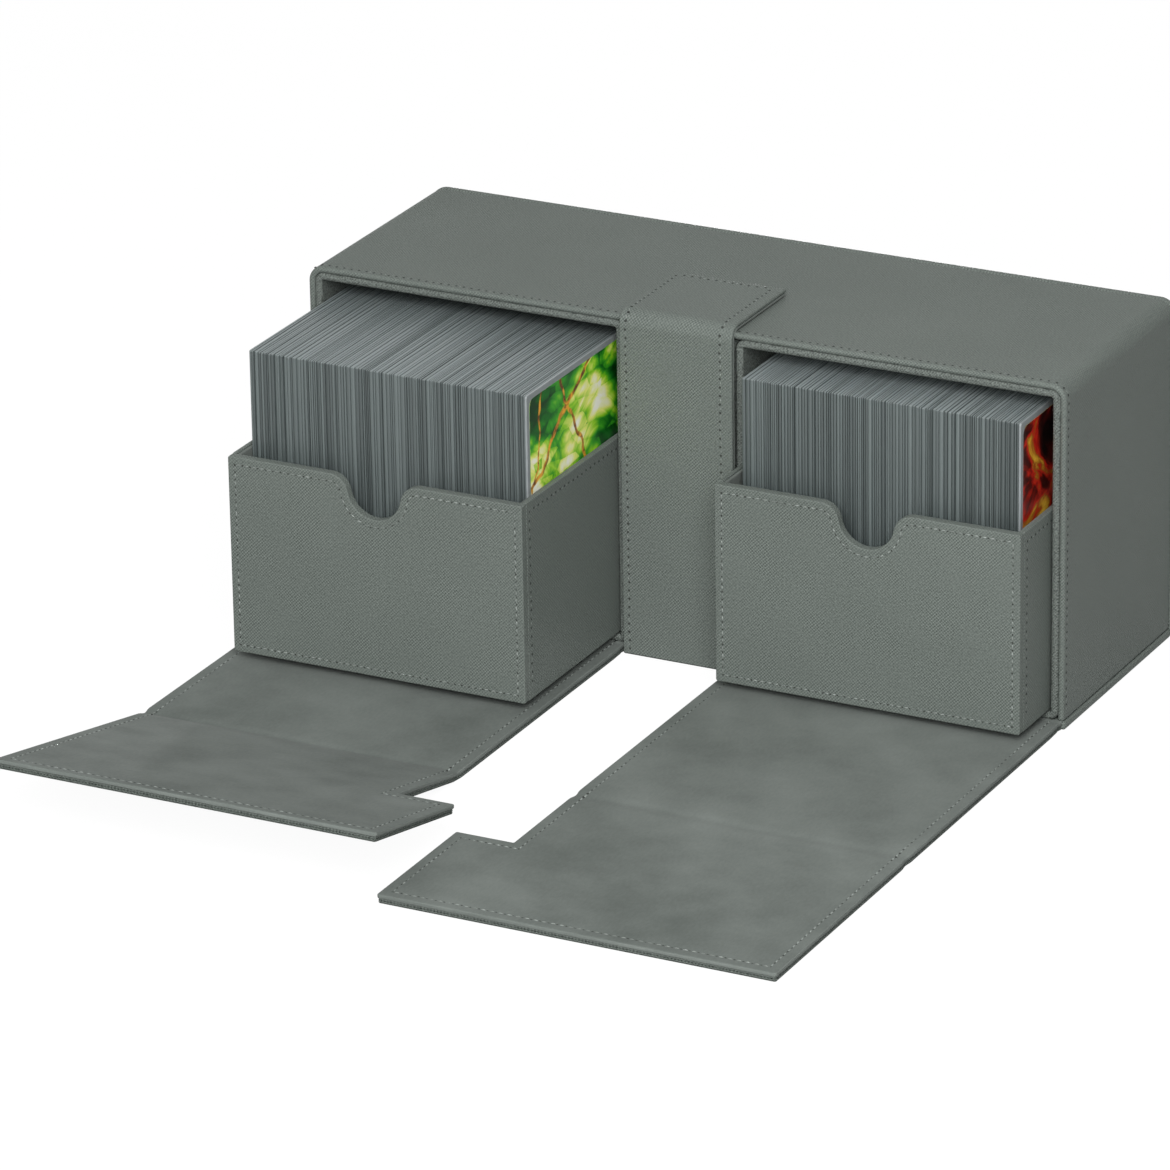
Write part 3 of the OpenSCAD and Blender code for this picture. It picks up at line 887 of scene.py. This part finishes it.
def make_stitch(name, thread_width, hole_width):
    """One stitch along X: a thread that arches out of the leather, and behind it a dark disc of painted shade
    where the needle hole is.
    """
    thread = six_sided_rod(name, thread_width, STITCH_LENGTH, rotation=(0, math.pi / 2, 0))
    start_editing(thread)
    for share in (-0.3, 0.0, 0.3):
        cut_across("X", share * STITCH_LENGTH)
    for reach, scale, drop in ((0.5, 0.55, THREAD_RISE), (0.3, 0.92, 0.3 * THREAD_RISE)):
        for end in (-1, 1):
            choose_points(thread, lambda p: abs(p.x - end * reach * STITCH_LENGTH) < 2 * NEAR)
            bpy.ops.transform.resize(value=(1, scale, scale))
            bpy.ops.transform.translate(value=(0, 0, -drop))
    stop_editing()
    thread.data.materials.append(THREAD)
    middle = (-STITCH_PITCH / 2, 0, HOLE_TOP - HOLE_DEPTH / 2)
    hole = six_sided_rod(name + "_hole", hole_width, HOLE_DEPTH, location=middle)
    start_editing(hole)
    choose_faces(hole, lambda c, n: n.z > 0.9)
    bpy.ops.mesh.inset(thickness=HOLE_LIP, depth=-HOLE_DISH)
    stop_editing()
    hole.data.materials.append(NEEDLE_HOLE_SHADE)
    select_only(thread)
    hole.select_set(True)
    bpy.ops.object.join()
    shade_smooth(thread)
    return thread


RAISED_STITCH = make_stitch("raised_stitch", thread_width=0.58 * MM, hole_width=0.68 * MM)
SUNKEN_STITCH = make_stitch("sunken_stitch", thread_width=0.36 * MM, hole_width=0.80 * MM)


def seam_places(path, pitch, sink=GROOVE_SINK):
    """Where each stitch of a seam lies. path is a list of (point, outward normal) corners, all in order."""
    runs = []
    for (a, normal_a), (b, normal_b) in zip(path, path[1:]):
        a, b = Vector(a), Vector(b)
        length = (b - a).length
        if length >= SHORTEST_RUN:
            runs.append((a, b, Vector(normal_a), Vector(normal_b), length))
    total = sum(length for *_, length in runs)
    count = max(1, round(total / pitch))
    step = total / count
    places = []
    at = step / 2
    done = 0.0
    for a, b, normal_a, normal_b, length in runs:
        while at <= done + length + ROUNDING and len(places) < count:
            share = (at - done) / length
            along = (b - a).normalized()
            up = normal_a.lerp(normal_b, share).normalized()
            side = up.cross(along).normalized()
            turn = Matrix((along, side, up)).transposed()
            slant = STITCH_SLANT + SLANT_SPREAD * stitch_dice.uniform(-1, 1)
            turn = turn @ Matrix.Rotation(slant, 3, "Z")
            scale = Matrix.Diagonal((step / STITCH_PITCH, stitch_dice.uniform(*STITCH_WIDTHS), 1))
            places.append(Matrix.Translation(a.lerp(b, share) - up * sink) @ (turn @ scale).to_4x4())
            at += step
        done += length
    return places


def corner_seams(corners, normal, pitch, sink=GROOVE_SINK):
    """Stitches along straight runs on one flat face, spaced evenly on each run by itself."""
    places = []
    for a, b in zip(corners, corners[1:]):
        places += seam_places([(a, normal), (b, normal)], pitch, sink)
    return places


def lay_copies(name, master, places, tones=None):
    """One mesh that holds a copy of the master at each place."""
    source = master.data
    points = points_of(master)
    points = np.hstack([points, np.ones((len(points), 1))])
    count = len(points)
    every_point = np.vstack([points @ np.array(m).T[:, :3] for m in places])
    faces = [tuple(f.vertices) for f in source.polygons]
    every_face = [tuple(i + k * count for i in face) for k in range(len(places)) for face in faces]
    mesh = bpy.data.meshes.new(name)
    mesh.from_pydata(every_point.tolist(), [], every_face)
    for material in source.materials:
        mesh.materials.append(material)
    for prop, kind in (("material_index", np.int32), ("use_smooth", bool)):
        values = np.empty(len(faces), kind)
        source.polygons.foreach_get(prop, values)
        mesh.polygons.foreach_set(prop, np.tile(values, len(places)))
    if tones is not None:
        layer = mesh.attributes.new("card_tone", "FLOAT", "POINT")
        layer.data.foreach_set("value", np.repeat(np.array(tones, np.float32), count))
    piece = bpy.data.objects.new(name, mesh)
    bpy.context.scene.collection.objects.link(piece)
    return piece


def sew(name, stitch, places, body):
    thread = lay_copies(name, stitch, places)
    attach(thread, body)


# ---- case ----

def make_shell():
    low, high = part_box("outer_shell")
    shell = block("case_shell", low, high)
    start_editing(shell)
    remove_faces(shell, lambda c, n: abs(n.y) > 0.9 or n.z < -0.9)
    bevel_top(shell, high.z, SHELL_R, 10)
    stop_editing()
    thicken(shell, SHELL_WALL)
    round_edges(shell, SHELL_EDGE_R, 4)
    dressed_part(shell, CASE_LEATHER, "case_leather", "case", "outer_shell")

    y = low.y + SHELL_SEAM_INSET
    foot = low.z + SHELL_SEAM_FOOT
    path = [((low.x, y, foot), (-1, 0, 0))]
    for side, start, end in ((LEFT, 180, 90), (RIGHT, 90, 0)):
        centre = (side * (high.x - SHELL_R), high.z - SHELL_R)
        for x, z in arc(centre, SHELL_R, start, end, 6):
            path.append(((x, y, z), (x - centre[0], 0, z - centre[1])))
    path.append(((high.x, y, foot), (1, 0, 0)))
    sew("case_shell_stitching", SUNKEN_STITCH, seam_places(path, SHELL_SEAM_PITCH, FLAT_SINK), "case")


def make_sleeve(side):
    name = SIDE_NAME[side] + "_compartment_sleeve"
    low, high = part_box(name)
    sleeve = block(SIDE_NAME[side] + "_sleeve", low, high)
    start_editing(sleeve)
    remove_faces(sleeve, lambda c, n: abs(n.y) > 0.9)
    bevel_top(sleeve, high.z, SLEEVE_R, 8)
    bevel_edges(sleeve, lambda a, b: abs(a.y - b.y) > MM and max(a.z, b.z) < low.z + MM, SLEEVE_FOOT_R, 5)
    stop_editing()
    thicken(sleeve, SLEEVE_WALL)
    round_edges(sleeve, SLEEVE_EDGE_R, 4)
    dressed_part(sleeve, EDGE_LEATHER, "sleeve_leather", "case", name)


def make_base_and_back():
    base = block("base", *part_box("base_board"))
    round_edges(base, BASE_EDGE_R, 3)
    dressed_part(base, CASE_LEATHER, "case_leather", "case", "base_board")

    low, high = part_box("back_board")
    back = block("back", low, high)
    start_editing(back)
    bevel_top(back, high.z, BACK_R, 10)
    choose_faces(back, lambda c, n: n.y > 0.9)
    sink_seam(BACK_SEAM_INSET)
    stop_editing()
    round_edges(back, BACK_EDGE_R, 3)
    dressed_part(back, CASE_LEATHER, "case_leather", "case", "back_board")

    inset = BACK_SEAM_INSET
    y, normal = high.y - GROOVE_DEPTH, (0, 1, 0)
    x, foot = high.x - inset, low.z + inset
    path = [(-x, foot)] + two_corners(-x, x, high.z - inset, BACK_R - inset) + [(x, foot)]
    places = seam_places([((x, y, z), normal) for x, z in path], FLAP_SEAM_PITCH)
    places += corner_seams([(x, y, foot), (-x, y, foot)], normal, FLAP_SEAM_PITCH)
    sew("back_stitching", RAISED_STITCH, places, "case")


# ---- flaps ----

flap_front_low, flap_front_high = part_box("right_flap_front_lining")
flap_top_low, flap_top_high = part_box("right_flap_top_lining")
HINGE_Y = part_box("right_hinge_strip")[1].y
FLAP_X0, FLAP_X1 = flap_front_low.x, flap_front_high.x
FLAP_Y0, FLAP_Y1 = flap_front_high.y, flap_top_low.y
TAB_X = flap_top_low.x
TAB_Y = FLAP_Y1 + FLAP_TAB_LENGTH
CREASE_Y = (flap_front_low.y + flap_top_high.y) / 2
CREASE_HALF = (flap_front_low.y - flap_top_high.y) / 2
CREASE_Z = 0.45 * MM
SKIN_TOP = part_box("right_flap_front_skin")[1].z
FLAP_TOP = flap_front_high.z
CREASE = ((0, CREASE_Y + CREASE_HALF, 0), (0, CREASE_Y - CREASE_HALF, 0))
HINGE = ((0, HINGE_Y, 0), (0, FLAP_Y0, 0))

# where a flap is cut across, for its shape at the crease and the hinge: in halves of the crease's width, and
# in shares of the hinge strip's
CREASE_CUTS = (-1.4, -1.0, -0.72, -0.48, -0.24, 0.0, 0.24, 0.48, 0.72, 1.0, 1.4)
HINGE_CUTS = (0.15, 0.35, 0.55, 0.75)


def lift_beyond_crease(piece, angle):
    """Turns the top panel up about the crease, in a smooth bend over the crease's width."""
    points = points_of(piece)
    y, z = points[:, 1] - CREASE_Y, points[:, 2] - CREASE_Z
    share = np.clip((CREASE_HALF - y) / (2 * CREASE_HALF), 0, 1)
    turn = angle * share * share * (3 - 2 * share)
    points[:, 1] = CREASE_Y + y * np.cos(turn) + z * np.sin(turn)
    points[:, 2] = CREASE_Z - y * np.sin(turn) + z * np.cos(turn)
    move_points(piece, points)


def flap_layer(name, side, bottom, top, seam_up, drawn_in):
    """One layer of a flap and its hinge strip, lying flat, with tab, stitching groove and rounded edges."""
    inner_x, outer_x, tab_x = FLAP_X0 + drawn_in, FLAP_X1 - drawn_in, TAB_X + drawn_in
    end_y, tab_y = FLAP_Y1 + drawn_in, TAB_Y - drawn_in
    xs = sorted((side * tab_x, side * outer_x))
    layer = flat_sheet(name, (xs[0], end_y), (xs[1], HINGE_Y + FLAP_SPARE), top)
    start_editing(layer)
    cut_across("X", side * inner_x)
    cut_across("Y", tab_y)
    remove_faces(layer, lambda c, n: side * c.x < inner_x and c.y > tab_y)
    stop_editing()
    thicken(layer, top - bottom)

    corners = [(tab_x, end_y), (outer_x, end_y), (inner_x, tab_y), (tab_x, tab_y)]
    start_editing(layer)
    choose_faces(layer, lambda c, n: n.z > 0.9 if seam_up else n.z < -0.9)
    sink_seam(FLAP_SEAM_INSET - drawn_in)
    bevel_edges(
        layer,
        lambda a, b: abs(a.z - b.z) > 0.5 * (top - bottom)
        and any(abs(side * a.x - x) < NEAR and abs(a.y - y) < NEAR for x, y in corners),
        FLAP_CORNER_R,
        3,
    )
    stop_editing()
    round_edges(layer, FLAP_EDGE_R if seam_up else SKIN_EDGE_R, 3)

    start_editing(layer)
    if not seam_up:
        groove_z = (bottom + top) / 2
        for z in (groove_z - EDGE_GROOVE / 2, groove_z, groove_z + EDGE_GROOVE / 2):
            cut_across("Z", z)
        choose_points(layer, lambda p: abs(p.z - groove_z) < NEAR)
        bpy.ops.transform.shrink_fatten(value=-EDGE_GROOVE)
    cut_across("Y", HINGE_Y, keep="before")
    for y in np.arange(FLAP_Y1 + FLAP_CUT_SPACING, FLAP_Y0, FLAP_CUT_SPACING):
        if abs(y - CREASE_Y) > FLAP_CUT_SPACING:
            cut_across("Y", y)
    for share in CREASE_CUTS:
        cut_across("Y", CREASE_Y + share * CREASE_HALF)
    for share in HINGE_CUTS:
        cut_across("Y", HINGE_Y + share * (FLAP_Y0 - HINGE_Y))
    for x in np.arange(TAB_X + FLAP_CUT_SPACING, FLAP_X1 - MM, FLAP_CUT_SPACING):
        cut_across("X", side * x)
    stop_editing()
    return layer


def shape_creases(layer, side, dips):
    """Draws the flap's edges in at the crease and the hinge, and lets the surface dip there."""
    points = points_of(layer)
    x, y, z = side * points[:, 0], points[:, 1], points[:, 2]
    hinge_middle = (HINGE_Y + FLAP_Y0) / 2
    for middle, half in ((CREASE_Y, CREASE_HALF), (hinge_middle, (HINGE_Y - FLAP_Y0) / 2)):
        close = np.clip(1 - np.abs(y - middle) / half, 0, 1)
        bend = close * close * (3 - 2 * close)
        edge = np.clip(1 - np.minimum(x - FLAP_X0, FLAP_X1 - x) / PINCH_REACH, 0, 1)
        inwards = np.where(x < (FLAP_X0 + FLAP_X1) / 2, 1, -1)
        points[:, 0] += side * inwards * edge * bend * CREASE_PINCH
        if dips:
            points[:, 2] -= np.where(z > FLAP_TOP - LINING_FACE, bend * CREASE_DIP, 0)
    move_points(layer, points)


def ripple(lining, side):
    """Lets the lining's face rise and fall a little, away from its edges."""
    texture = bpy.data.textures.new(lining.name + "_ripple", "CLOUDS")
    texture.noise_scale = RIPPLE_SIZE
    texture.noise_depth = 1
    group = lining.vertex_groups.new(name="soft")
    for v in lining.data.vertices:
        in_x = FLAP_X0 + RIPPLE_INSET < side * v.co.x < FLAP_X1 - RIPPLE_INSET
        in_y = FLAP_Y1 + RIPPLE_INSET < v.co.y < FLAP_Y0 - RIPPLE_HINGE_INSET
        if in_x and in_y and v.co.z > FLAP_TOP - LINING_FACE:
            group.add([v.index], 1.0, "REPLACE")
    reach = {"texture_coords": "LOCAL", "direction": "Z", "mid_level": 0.5, "vertex_group": "soft"}
    apply_modifier(lining, "DISPLACE", texture=texture, strength=RIPPLE_DEPTH, **reach)


def split_at_hinge(layer, hinge_name):
    """Parts the strip between the case and the flap from the flap, and returns it."""
    select_only(layer)
    bpy.ops.object.duplicate()
    strip = bpy.context.active_object
    strip.name = hinge_name
    strip.data.name = hinge_name
    for piece, keep in ((layer, "before"), (strip, "beyond")):
        start_editing(piece)
        cut_across("Y", FLAP_Y0, keep=keep)
        stop_editing()
    return strip


def darken_edge_faces(piece, test):
    """Gives the faces of a leather piece that pass the test a darker leather: painted shade on the strap's
    downward faces, and darker side faces on the flaps.
    """
    piece.data.materials.append(DARK_EDGE_AND_SHADE)
    for face in piece.data.polygons:
        if test(face.center, face.normal):
            face.material_index = 1


def flap_seam(side, z, normal):
    """The seam round a flap, from the hinge along the inner edge, the tab, the end and the outer edge."""
    inset = FLAP_SEAM_INSET
    start_y = HINGE_Y - FLAP_SEAM_START
    corners = [
        (FLAP_X0 + inset, start_y),
        (FLAP_X0 + inset, TAB_Y - inset),
        (TAB_X + inset, TAB_Y - inset),
        (TAB_X + inset, FLAP_Y1 + inset),
        (FLAP_X1 - inset, FLAP_Y1 + inset),
        (FLAP_X1 - inset, start_y),
    ]
    return corner_seams([(side * x, y, z) for x, y in corners], normal, FLAP_SEAM_PITCH)


def make_flap(side):
    name = SIDE_NAME[side]
    front, top = name + "_flap_front", name + "_flap_top"
    lift = LEFT_FLAP_LIFT if side == LEFT else 0.0
    lining = flap_layer(name + "_flap_lining", side, SKIN_TOP, FLAP_TOP, True, 0.0)
    leather = flap_layer(name + "_flap_leather", side, 0.0, SKIN_TOP, False, SKIN_DRAWN_IN)
    ripple(lining, side)
    shape_creases(lining, side, True)
    shape_creases(leather, side, False)

    lining_nodes = (front + "_lining", top + "_lining")
    leather_nodes = (front + "_skin", top + "_skin", name + "_flap_crease")
    for layer, material, slot, nodes, strip_nodes in (
        (lining, LINING, "lining_microfibre", lining_nodes, ()),
        (leather, CASE_LEATHER, "case_leather", leather_nodes, (name + "_hinge_strip",)),
    ):
        strip = split_at_hinge(layer, layer.name.replace("flap", "hinge"))
        for piece, covered, bodies, (start, end) in (
            (layer, nodes, (front, top), CREASE),
            (strip, strip_nodes, ("case", front), HINGE),
        ):
            dress(piece, material)
            if material is CASE_LEATHER:
                darken_edge_faces(piece, lambda c, n: abs(n.z) < 0.6)
            if piece is layer and lift:
                lift_beyond_crease(piece, lift)
            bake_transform(piece)
            if covered:
                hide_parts(*covered)

    seams = flap_seam(side, FLAP_TOP - GROOVE_DEPTH, (0, 0, 1))
    seams += flap_seam(side, GROOVE_DEPTH, (0, 0, -1))
    for part, places, bodies, (start, end) in (
        ("hinge", [m for m in seams if m.translation.y > FLAP_Y0], ("case", front), HINGE),
        ("flap", [m for m in seams if m.translation.y <= FLAP_Y0], (front, top), CREASE),
    ):
        thread = lay_copies(name + "_" + part + "_stitching", RAISED_STITCH, places)
        if part == "flap" and lift:
            lift_beyond_crease(thread, lift)
        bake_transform(thread)


# ---- card trays and drawer ----

def make_box(name, node, wall, edge_r, material, slot, body, open_front):
    """A box with a wall in place of a node, open at the top, and at the front if asked."""
    box = block(name, *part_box(node))
    start_editing(box)
    remove_faces(box, lambda c, n: n.z > 0.9 or (open_front and n.y < -0.9))
    stop_editing()
    thicken(box, wall)
    round_edges(box, edge_r, 3)
    dressed_part(box, material, slot, body, node)


def notch_line(top, middle, inset):
    """Points along the thumb notch, from the left shoulder to the right one, an inset inside its edge."""
    drop = NOTCH_DEPTH - NOTCH_R - NOTCH_SHOULDER_R
    reach = math.sqrt((NOTCH_R + NOTCH_SHOULDER_R) ** 2 - drop ** 2)
    lean = math.degrees(math.atan2(drop, reach))
    bottom = (middle, top - NOTCH_DEPTH + NOTCH_R)
    shoulder_r, bottom_r = NOTCH_SHOULDER_R - inset, NOTCH_R + inset
    shoulder_z = top - NOTCH_SHOULDER_R
    return (
        arc((middle - reach, shoulder_z), shoulder_r, 90, -lean, 8)
        + arc(bottom, bottom_r, 180 - lean, 360 + lean, 18)[1:-1]
        + arc((middle + reach, shoulder_z), shoulder_r, 180 + lean, 90, 8)
    )


def make_tray_front(name, body):
    low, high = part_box(name + "_tray_front")
    middle = (low.x + high.x) / 2
    outline = [(high.x, high.z), (high.x, low.z), (low.x, low.z), (low.x, high.z)]
    outline += notch_line(high.z, middle, 0)
    panel = drawn_face(name + "_tray_panel", [(x, low.y, z) for x, z in outline])
    face_front(panel)
    thicken(panel, high.y - low.y)
    start_editing(panel)
    choose_faces(panel, lambda c, n: n.y < -0.9)
    sink_seam(TRAY_SEAM_INSET)
    bevel_edges(
        panel,
        lambda a, b: abs(a.y - b.y) > MM
        and min(a.x - low.x, high.x - a.x) < NEAR
        and min(a.z - low.z, high.z - a.z) < NEAR,
        TRAY_CORNER_R,
        3,
    )
    stop_editing()
    round_edges(panel, TRAY_EDGE_R, 4)
    dressed_part(panel, CASE_LEATHER, "case_leather", body, name + "_tray_front")

    inset = TRAY_SEAM_INSET
    y, normal = low.y + GROOVE_DEPTH, (0, -1, 0)
    x0, x1, z0, z1 = low.x + inset, high.x - inset, low.z + inset, high.z - inset
    places = corner_seams([(x0, y, z1), (x0, y, z0), (x1, y, z0), (x1, y, z1)], normal, TRAY_SEAM_PITCH)
    rim = [(x0, z1)] + notch_line(high.z, middle, inset) + [(x1, z1)]
    places += seam_places([((x, y, z), normal) for x, z in rim], TRAY_RIM_PITCH)
    sew(name + "_tray_panel_stitching", RAISED_STITCH, places, body)


def make_tray(side):
    name = SIDE_NAME[side]
    body = name + "_tray"
    for part, node, wall, edge_r, material, slot in (
        ("_walls", "_body", TRAY_WALL, TRAY_WALL_EDGE_R, CASE_LEATHER, "case_leather"),
        ("_inside", "_lining", TRAY_LINING, TRAY_LINING_EDGE_R, LINING, "lining_microfibre"),
    ):
        make_box(body + part, body + node, wall, edge_r, material, slot, body, open_front=True)
    make_tray_front(name, body)

    low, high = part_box(body + "_body")
    places = []
    front, back = low.y + TRAY_SIDE_SEAM_FRONT, high.y - TRAY_SIDE_SEAM_INSET
    rim, foot = high.z - TRAY_SIDE_SEAM_DROP, low.z + TRAY_SIDE_SEAM_INSET
    for x, normal in ((low.x, (-1, 0, 0)), (high.x, (1, 0, 0))):
        corners = [(x, back, rim), (x, front, rim), (x, front, foot)]
        places += corner_seams(corners, normal, TRAY_SIDE_SEAM_PITCH, FLAT_SINK)
    sew(name + "_tray_side_stitching", SUNKEN_STITCH, places, body)


def make_drawer():
    for name, node, wall, edge_r, material, slot in (
        ("drawer_walls", "drawer_box", DRAWER_WALL, DRAWER_EDGE_R, EDGE_LEATHER, "sleeve_leather"),
        ("drawer_inside", "drawer_lining", DRAWER_LINING, DRAWER_LINING_EDGE_R, LINING, "lining_microfibre"),
    ):
        make_box(name, node, wall, edge_r, material, slot, "drawer", open_front=False)


# ---- cards ----

# least, more and power of what sets the cards of a deck apart
CARD_WIDTHS = (0.55, 0.9, 1.5)
CARD_SHORTER = (0.0005, 0.0013, 2)
CARD_NARROWER = (0, 0.003, 1)
CARD_SET_BACK = (0, 0.5 * MM, 2)
CARD_GAPS = (0.10 * MM, 0.24 * MM, 2)
CARD_TONES = (0.2, 0.75, 1)


def spread(dice, least, more, power):
    """A random value from least up to least and more, and with a higher power oftener near the least."""
    return least + more * dice.random() ** power


def make_card(low, high):
    """One sleeved card on edge, one millimetre thick, with its sleeve's corners cut and its edges eased."""
    card = block("card", (-0.5 * MM, low.y, low.z), (0.5 * MM, high.y, high.z))
    start_editing(card)
    bevel_edges(card, lambda a, b: abs(a.x - b.x) > 0.5 * MM, CARD_CORNER, 2)
    stop_editing()
    round_edges(card, CARD_EDGE, 1)
    shade_smooth(card)
    card.data.materials.append(CARD_SLEEVES)
    return card


def make_deck(side, seed):
    """Sleeved cards side by side, each a little different in width, height, place and tone."""
    name = SIDE_NAME[side]
    low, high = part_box(name + "_card_deck")
    card = make_card(low, high)
    dice = random.Random(seed)
    count = round((high.x - low.x) / CARD_PITCH)
    widths = [spread(dice, *CARD_WIDTHS) for _ in range(count)]
    unit = (high.x - low.x) / sum(widths)
    places, tones = [], []
    x = low.x
    foot = Vector((0, (low.y + high.y) / 2, low.z))
    for width in widths:
        thickness = width * unit
        shorter = spread(dice, *CARD_SHORTER)
        back = spread(dice, *CARD_SET_BACK)
        gap = spread(dice, *CARD_GAPS)
        narrower = spread(dice, *CARD_NARROWER)
        scale = Matrix.Diagonal(((thickness - gap) / MM, 1 - narrower, 1 - shorter, 1))
        place = Matrix.Translation(Vector((x + thickness / 2, back, 0)))
        about_foot = Matrix.Translation(foot) @ scale @ Matrix.Translation(-foot)
        places.append(place @ about_foot)
        tones.append(spread(dice, *CARD_TONES))
        x += thickness
    deck = lay_copies(name + "_cards", card, places, tones)
    bpy.data.objects.remove(card)
    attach(deck, name + "_tray")
    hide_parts(name + "_card_deck")


def make_end_card(side, print_material):
    """The last card: its clear sleeve, and the printed face that shows through it."""
    name = SIDE_NAME[side]
    body = name + "_tray"
    low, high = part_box(name + "_end_card")
    card = block(name + "_last_card", low, high)
    start_editing(card)
    bevel_edges(card, lambda a, b: abs(a.x - b.x) > 0.5 * (high.x - low.x), END_CARD_CORNER_R, 3)
    stop_editing()
    round_edges(card, END_CARD_EDGE_R, 2)
    dressed_part(card, SLEEVE_FACE, "card_sleeves", body)

    inset = SLEEVE_MARGIN + PRINT_CORNER_R
    y0, y1 = low.y + inset, high.y - inset
    z0, z1 = low.z + inset, high.z - inset
    outline = []
    for centre, start in (((y1, z1), 0), ((y0, z1), 90), ((y0, z0), 180), ((y1, z0), 270)):
        outline += arc(centre, PRINT_CORNER_R, start, start + 90, 5)
    printed = drawn_face(name + "_card_print", [(high.x + PRINT_RISE, y, z) for y, z in outline])
    if printed.data.polygons[0].normal.x < 0:
        printed.data.flip_normals()
    thicken(printed, 2 * PRINT_RISE)
    dressed_part(printed, print_material, "card_print", body, name + "_end_card")


# ---- strap ----

STRAP_BEND_TURNS = 10
STRAP_TAB_CUTS = (0.4 * MM, 0.8 * MM, 1.2 * MM, 1.6 * MM, 2.2 * MM, 3 * MM, 5 * MM, 10 * MM, 20 * MM)


def make_strap_layer(name, low, high, centre, radius, wall):
    """One layer of the strap: up the front, round the bend about a centre, and back along the top."""
    front_y = centre[0] - radius
    strap = block(name, (low.x, front_y, low.z), (high.x, front_y + MM, centre[1]))
    start_editing(strap)
    remove_faces(strap, lambda c, n: n.y > -0.9)
    profile = arc(centre, radius, 180, 90, STRAP_BEND_TURNS)
    profile += [(centre[0] + cut, centre[1] + radius) for cut in (*STRAP_TAB_CUTS, high.y - centre[0])]
    for (y, z), (next_y, next_z) in zip(profile, profile[1:]):
        choose_edges(strap, lambda a, b: all(abs(p.y - y) < NEAR and abs(p.z - z) < NEAR for p in (a, b)))
        step = (0, next_y - y, next_z - z)
        bpy.ops.mesh.extrude_region_move(TRANSFORM_OT_translate={"value": step})
    stop_editing()
    face_front(strap)
    thicken(strap, wall)
    round_edges(strap, min(STRAP_EDGE_R, 0.4 * wall), 4)
    return strap


def strap_seam(low, high, centre):
    """The strap's seam as (point, outward normal) corners: up the left side, round the tab and down."""
    left, right = low.x + STRAP_LEFT_SEAM, high.x - STRAP_RIGHT_SEAM
    rise = [((centre[0] - STRAP_BEND_R, low.z + STRAP_SEAM_FOOT), (-1, 0))]
    for y, z in arc(centre, STRAP_BEND_R, 180, 90, 8):
        rise.append(((y, z), (y - centre[0], z - centre[1])))
    path = [((left, *p), (0, *n)) for p, n in rise]
    for x, y in two_corners(left, right, high.y - STRAP_END_SEAM, STRAP_SEAM_R):
        path.append(((x, y, high.z), (0, 0, 1)))
    return path + [((right, *p), (0, *n)) for p, n in reversed(rise)]


def make_strap():
    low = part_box("strap_front_skin")[0]
    tab_low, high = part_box("strap_tab_skin")
    bend_low, bend_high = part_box("strap_bend")
    centre = (bend_high.y, bend_low.z)
    backing = high.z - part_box("strap_tab_lining")[0].z - STRAP_LEATHER - STRAP_BACKING_GAP
    leather_nodes = ("strap_front_skin", "strap_bend", "strap_tab_skin")
    inner_r = STRAP_BEND_R - STRAP_LEATHER
    for name, radius, wall, material, slot, nodes in (
        ("strap_leather", STRAP_BEND_R, STRAP_LEATHER, CASE_LEATHER, "case_leather", leather_nodes),
        ("strap_backing", inner_r, backing, LINING, "lining_microfibre", ("strap_tab_lining",)),
    ):
        strap = make_strap_layer(name, low, high, centre, radius, wall)
        dress(strap, material)
        if material is CASE_LEATHER:
            # painted shade on the downward faces at the strap's foot
            darken_edge_faces(strap, lambda c, n: n.z < -0.1 and c.z < low.z + STRAP_SHADE_FOOT)
        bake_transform(strap)
        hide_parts(*nodes)

    places = seam_places(strap_seam(low, high, centre), STRAP_SEAM_PITCH, FLAT_SINK)
    thread = lay_copies("strap_stitching", SUNKEN_STITCH, places)
    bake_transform(thread)


def dress_inner_parts():
    """Finishes for the frame's own parts that stay: boards and magnets inside the leather."""
    for name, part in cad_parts.items():
        if part.hide_render:
            continue
        material = NICKEL if "magnet" in name else BOARD
        part.data.materials.clear()
        part.data.materials.append(material)


set_up_camera()
set_up_light()
lay_floor()
make_shell()
make_base_and_back()
for side in (LEFT, RIGHT):
    make_sleeve(side)
    make_flap(side)
    make_tray(side)
make_deck(LEFT, seed=11)
make_deck(RIGHT, seed=23)
make_end_card(LEFT, LEAF_PRINT)
make_end_card(RIGHT, EMBER_PRINT)
make_strap()
make_drawer()
dress_inner_parts()
bpy.data.objects.remove(RAISED_STITCH)
bpy.data.objects.remove(SUNKEN_STITCH)
